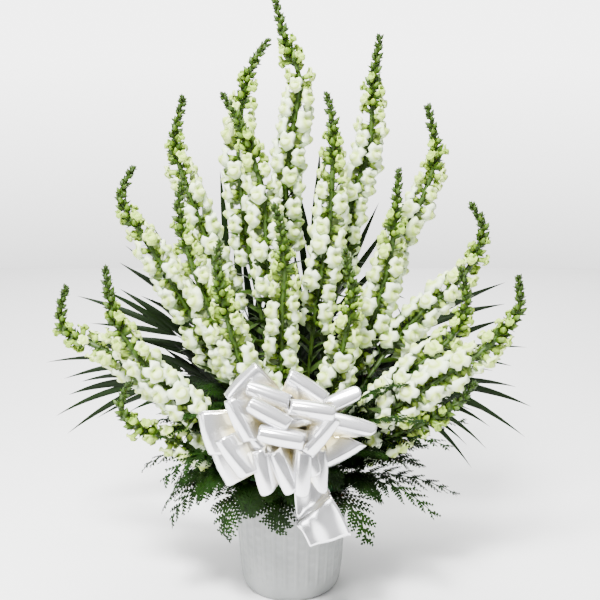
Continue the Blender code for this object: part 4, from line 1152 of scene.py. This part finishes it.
LOOP_ROOT_GAP = 0.0016
LOOP_ROOT_HALF = 0.0065
LOOP_BULGE = 0.0008
FOLD_LEAN = 0.18
FOLD_LAG = 0.0028
RIBBON_CUP = 0.0012
PLEAT = 0.0042
SLACK = 0.0016
CREASE = 0.0006
CREASE_PITCH = 0.0095
# The tail's stations: the middle of the ribbon, and half its width as a vector.
TAIL_ROUTE = [
    ((0.004, -0.118, 0.314), (0.006, 0.0, 0.0)),
    ((0.018, -0.128, 0.296), (0.012, 0.0, 0.002)),
    ((0.030, -0.137, 0.238), (0.024, 0.0, 0.006)),
    ((0.036, -0.146, 0.205), (0.026, 0.0, 0.022)),
    ((0.037, -0.158, 0.199), (0.027, 0.0, 0.024)),
    ((0.048, -0.166, 0.186), (0.029, 0.0, 0.018)),
    ((0.063, -0.174, 0.156), (0.032, 0.0, 0.010)),
]
TAIL_ROWS = 48
TAIL_RIPPLE = 0.0016
# The tail's depth keeps it almost clear of the painted cream shade.
TAIL_DEPTH = (0.95, 1)
WRAP_ROWS = 33
WRAP_HALF = 0.012
WRAP_WAIST = 0.78
WRAP_GATHER = 0.0007


def ribbon_part(points, length, depth):
    """A strip as a part: its UVs are real distances across and along it, and depth is 0 at the knot."""
    across = np.linspace(-1, 1, RIBBON_COLUMNS) * RIBBON_WIDTH / 2
    uv = np.stack(np.broadcast_arrays(across, length[:, None]), -1)
    # depth sets the satin's painted shade: cream at the knot, white out at the folds.
    depth = np.broadcast_to(depth[:, None], points.shape[:2])
    return points, grid_faces(len(points), RIBBON_COLUMNS), depth, uv, length[-1]


def ribbon_loop(number, fold_mm, slope_degrees):
    """One loop: a teardrop profile across the ribbon's width, which spreads from the knot to the fold.

    Both sides bulge by a half sine and close on a semicircle of LOOP_BEND_RADIUS. Pleats that fade with the
    distance from the knot ripple it across, and slow sine waves slacken and crease its sides. The edges lag
    the middle and the middle is cupped outwards, so that the fold line is slightly bowed.
    """
    fold = np.array(fold_mm) * MM
    slope = np.radians(slope_degrees)
    ahead = unit(fold - KNOT)
    line = unit(np.array([np.cos(slope), FOLD_LEAN * np.sin(slope), np.sin(slope)]))
    proud = unit(np.cross(ahead, line))
    reach = np.linalg.norm(fold - KNOT) - LOOP_BEND_RADIUS
    side = np.linspace(0, 1, LOOP_SIDE_ROWS)
    bulge = LOOP_ROOT_GAP + (LOOP_BEND_RADIUS - LOOP_ROOT_GAP) * eased(0, 0.8, side)
    bulge = bulge + LOOP_BULGE * np.sin(np.pi * side)
    turn = np.linspace(0, np.pi, LOOP_FOLD_ROWS + 2)[1:-1]
    outward = np.concatenate([side * reach, reach + LOOP_BEND_RADIUS * np.sin(turn), side[::-1] * reach])
    height = np.concatenate([bulge, LOOP_BEND_RADIUS * np.cos(turn), -bulge[::-1]])
    length = lengths_along(np.stack([outward, height], -1))
    nearness = np.clip(outward / reach, 0, 1)
    crease = CREASE * np.sin((outward - reach) / CREASE_PITCH * 2 * np.pi + number)
    crease = np.where(outward < reach, crease * eased(0.35, 0.8, nearness), 0)[:, None]
    half = (LOOP_ROOT_HALF + (RIBBON_WIDTH / 2 - LOOP_ROOT_HALF) * eased(0, 0.62, nearness))[:, None]
    outward, height, near = outward[:, None], height[:, None], nearness[:, None]
    across = np.linspace(-1, 1, RIBBON_COLUMNS)
    pleat = PLEAT * (1 - eased(0.0, 0.85, near)) * np.cos(across * np.pi * 2.5 + number)
    slack = SLACK * np.sin(across * 2.1 + number * 1.3) * np.sin(np.pi * near)
    lag = FOLD_LAG * across ** 2 * near
    cup = RIBBON_CUP * (1 - across ** 2) * (eased(0, 0.6, near) * height / LOOP_BEND_RADIUS)
    lift = height + pleat + cup + (slack + crease) * np.sign(height)
    points = KNOT + ahead * (outward - lag)[..., None] + proud * lift[..., None]
    points = points + line * (half * across)[..., None]
    return ribbon_part(points, length, nearness)


def ribbon_tail():
    """The tail: rows laid across the smooth line through TAIL_ROUTE, with a soft lengthwise ripple."""
    route = np.array([np.concatenate(station) for station in TAIL_ROUTE])
    line = smooth_line(route, TAIL_ROWS)
    across = np.linspace(-1, 1, RIBBON_COLUMNS)
    points = line[:, None, :3] + line[:, None, 3:] * across[:, None]
    points[..., 1] -= TAIL_RIPPLE * np.cos(across * np.pi * 1.5)
    return ribbon_part(points, lengths_along(line[:, :3]), np.linspace(*TAIL_DEPTH, TAIL_ROWS))


def ribbon_wrap():
    """A turn of ribbon round the knot: a band about the depth axis, gathered and pulled in at its middle."""
    turns = np.linspace(0, 2 * np.pi, WRAP_ROWS)
    across = np.linspace(-1, 1, RIBBON_COLUMNS)
    girth = KNOT_RADIUS * (WRAP_WAIST + (1 - WRAP_WAIST) * across ** 2) + WRAP_GATHER * np.cos(across * 14)
    points = KNOT + rings(girth, across * WRAP_HALF, turns[:, None])[..., [0, 2, 1]]
    return ribbon_part(points, turns * KNOT_RADIUS, np.zeros(WRAP_ROWS))


def white_satin():
    """Polyester satin: long warp floats along the ribbon give it a bright, stretched highlight and a sheen.

    It reflects nearly like metal. The floats are drawn 0.4 mm wide and 16 times as long, which is coarser
    than the real ones, so that they show. Deep in the bow the folds are painted cream: painted shade for the
    dim, warm light between the loops.
    """
    material, tree, shader = new_finish(
        "white_polyester_satin", Roughness=0.20, Specular_IOR_Level=0.6, Metallic=0.85, Sheen_Weight=0.15,
        Sheen_Roughness=0.35, Anisotropic=0.5)
    # Painted shade: cream by depth, from the knot out to the folds.
    depth = add_node(tree, "Attribute", {"attribute_name": "depth"})
    steps = [(0.0, "#E6D898"), (0.75, "#F1E9C6"), (0.97, "#F3F3F6")]
    tint = add_node(tree, "ValToRGB", steps=steps, i0=(depth, "Fac"))
    surface = add_node(tree, "UVMap", {"uv_map": "surface"})
    stretched = add_node(tree, "Mapping", i0=(surface, "UV"), i3=(1.0, 0.06, 1.0))
    floats = add_node(tree, "TexNoise", Vector=(stretched, "Vector"), Scale=2600.0, Detail=1.0)
    bump = add_node(tree, "Bump", Height=(floats, "Fac"), Strength=0.10, Distance=0.0002)
    wire(tree, shader, Base_Color=(tint, "Color"), Normal=(bump, "Normal"))
    return material


ribbon_parts = [ribbon_loop(number, *loop) for number, loop in enumerate(LOOPS)]
ribbon_parts += [ribbon_tail(), ribbon_wrap()]
points, faces, depth, uv = merged([part[:4] for part in ribbon_parts])
ribbon = put_mesh("satin_bow", points, faces, uv, {"depth": depth})
ribbon.data.materials.append(white_satin())
cloth = ribbon.modifiers.new("cloth", "SOLIDIFY")
cloth.thickness = RIBBON_THICKNESS
cloth.offset = 0.0
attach(ribbon, "root")
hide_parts("ribbon_bow")


# The bow's pick: a plain birch stick, pushed into the foam, that the bow's knot is wired to. Its own solid in
# the frame stays and gets the look of the wood.


def pick_wood():
    """Birch, rotary cut and unfinished: pale and matt, with a grain of 1 mm that runs 12 times as long."""
    material, tree, shader = new_finish("plain_birch", Roughness=0.7)
    place = add_node(tree, "TexCoord")
    stretched = add_node(tree, "Mapping", i0=(place, "Object"), i3=(1.0, 1.0, 0.08))
    grain = add_node(tree, "TexNoise", Vector=(stretched, "Vector"), Scale=900.0, Detail=2.0)
    tint = add_node(tree, "ValToRGB", steps=[(0.3, "#C9A878"), (0.7, "#E2C79A")], i0=(grain, "Fac"))
    wire(tree, shader, Base_Color=(tint, "Color"))
    return material


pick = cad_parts["bow_pick"]
for material_slot in pick.material_slots:
    material_slot.material = pick_wood()

# The studio: a white paper floor under a white world, a key box above the camera and a little to its left, an
# overhead box, a box at the front left, one that lights the floor far behind, and the photograph's camera.
FLOOR_HALF = 3
CAMERA_PLACE = (0.0155, -1.6, 0.85)
CAMERA_PITCH_DOWN = 12.3
CAMERA_LENS = 59.6
CAMERA_FILM = 36.0
AIM = (0.0, 0.0, 0.4)
# Each soft box: its place, what it looks at, its width and height in metres and its power in watts.
SOFT_BOXES = {
    "key_box": ((-0.4, -1.25, 2.35), AIM, 0.6, 0.5, 250),
    "overhead_box": ((0.0, 0.3, 2.4), AIM, 1.4, 1.0, 60),
    "front_left_box": ((-1.6, -1.6, 1.0), AIM, 0.9, 1.2, 35),
    "backdrop_box": ((0.0, 2.3, 1.9), (0.0, 2.3, 0.0), 4.0, 1.6, 90),
}
# The world's light, as (height of the direction, strength) at its two ends: for surfaces, for the camera.
SKY = ((-0.1, 0.15), (1.0, 1.3))
BACKDROP = ((-0.18, 2.2), (0.02, 5.0))


def soft_box(name, place, aim, width, height, power):
    """An area light at place whose face looks at aim."""
    data = bpy.data.lights.new(name, "AREA")
    data.shape = "RECTANGLE"
    data.size, data.size_y = width, height
    data.energy = power
    lamp = bpy.data.objects.new(name, data)
    bpy.context.scene.collection.objects.link(lamp)
    lamp.location = place
    lamp.rotation_euler = (Vector(aim) - Vector(place)).to_track_quat("-Z", "Y").to_euler()
    return lamp


def white_world():
    """White behind everything for the camera; for the surfaces, light that grows towards the zenith."""
    world = bpy.data.worlds.new("studio")
    world.use_nodes = True
    tree = world.node_tree
    path = add_node(tree, "LightPath")
    aim = add_node(tree, "TexCoord")
    apart = add_node(tree, "SeparateXYZ", Vector=(aim, "Generated"))
    sky, backdrop = (
        add_node(tree, "MapRange", {"clamp": True}, i0=(apart, "Z"), i1=low, i2=high, i3=dim, i4=bright)
        for (low, dim), (high, bright) in (SKY, BACKDROP))
    level = add_node(tree, "Mix", {"data_type": "FLOAT"}, i0=(path, "Is Camera Ray"), i2=(sky, "Result"),
                     i3=(backdrop, "Result"))
    wire(tree, tree.nodes["Background"], Color=(1, 1, 1, 1), Strength=(level, 0))
    bpy.context.scene.world = world


def studio_paper():
    """Matt white background paper."""
    return new_finish("white_paper", Base_Color=linear("#F4F4F4"), Roughness=0.9)[0]


corners = [(-FLOOR_HALF, -FLOOR_HALF, 0), (FLOOR_HALF, -FLOOR_HALF, 0), (FLOOR_HALF, FLOOR_HALF, 0),
           (-FLOOR_HALF, FLOOR_HALF, 0)]
floor = put_mesh("studio_floor", corners, [(0, 1, 2, 3)])
floor.data.materials.append(studio_paper())
white_world()
for name, details in SOFT_BOXES.items():
    soft_box(name, *details)
camera_data = bpy.data.cameras.new("photo_camera")
camera_data.lens = CAMERA_LENS
camera_data.sensor_width = CAMERA_FILM
camera = bpy.data.objects.new("photo_camera", camera_data)
bpy.context.scene.collection.objects.link(camera)
camera.location = CAMERA_PLACE
camera.rotation_euler = (np.radians(90 - CAMERA_PITCH_DOWN), 0, 0)
bpy.context.scene.camera = camera
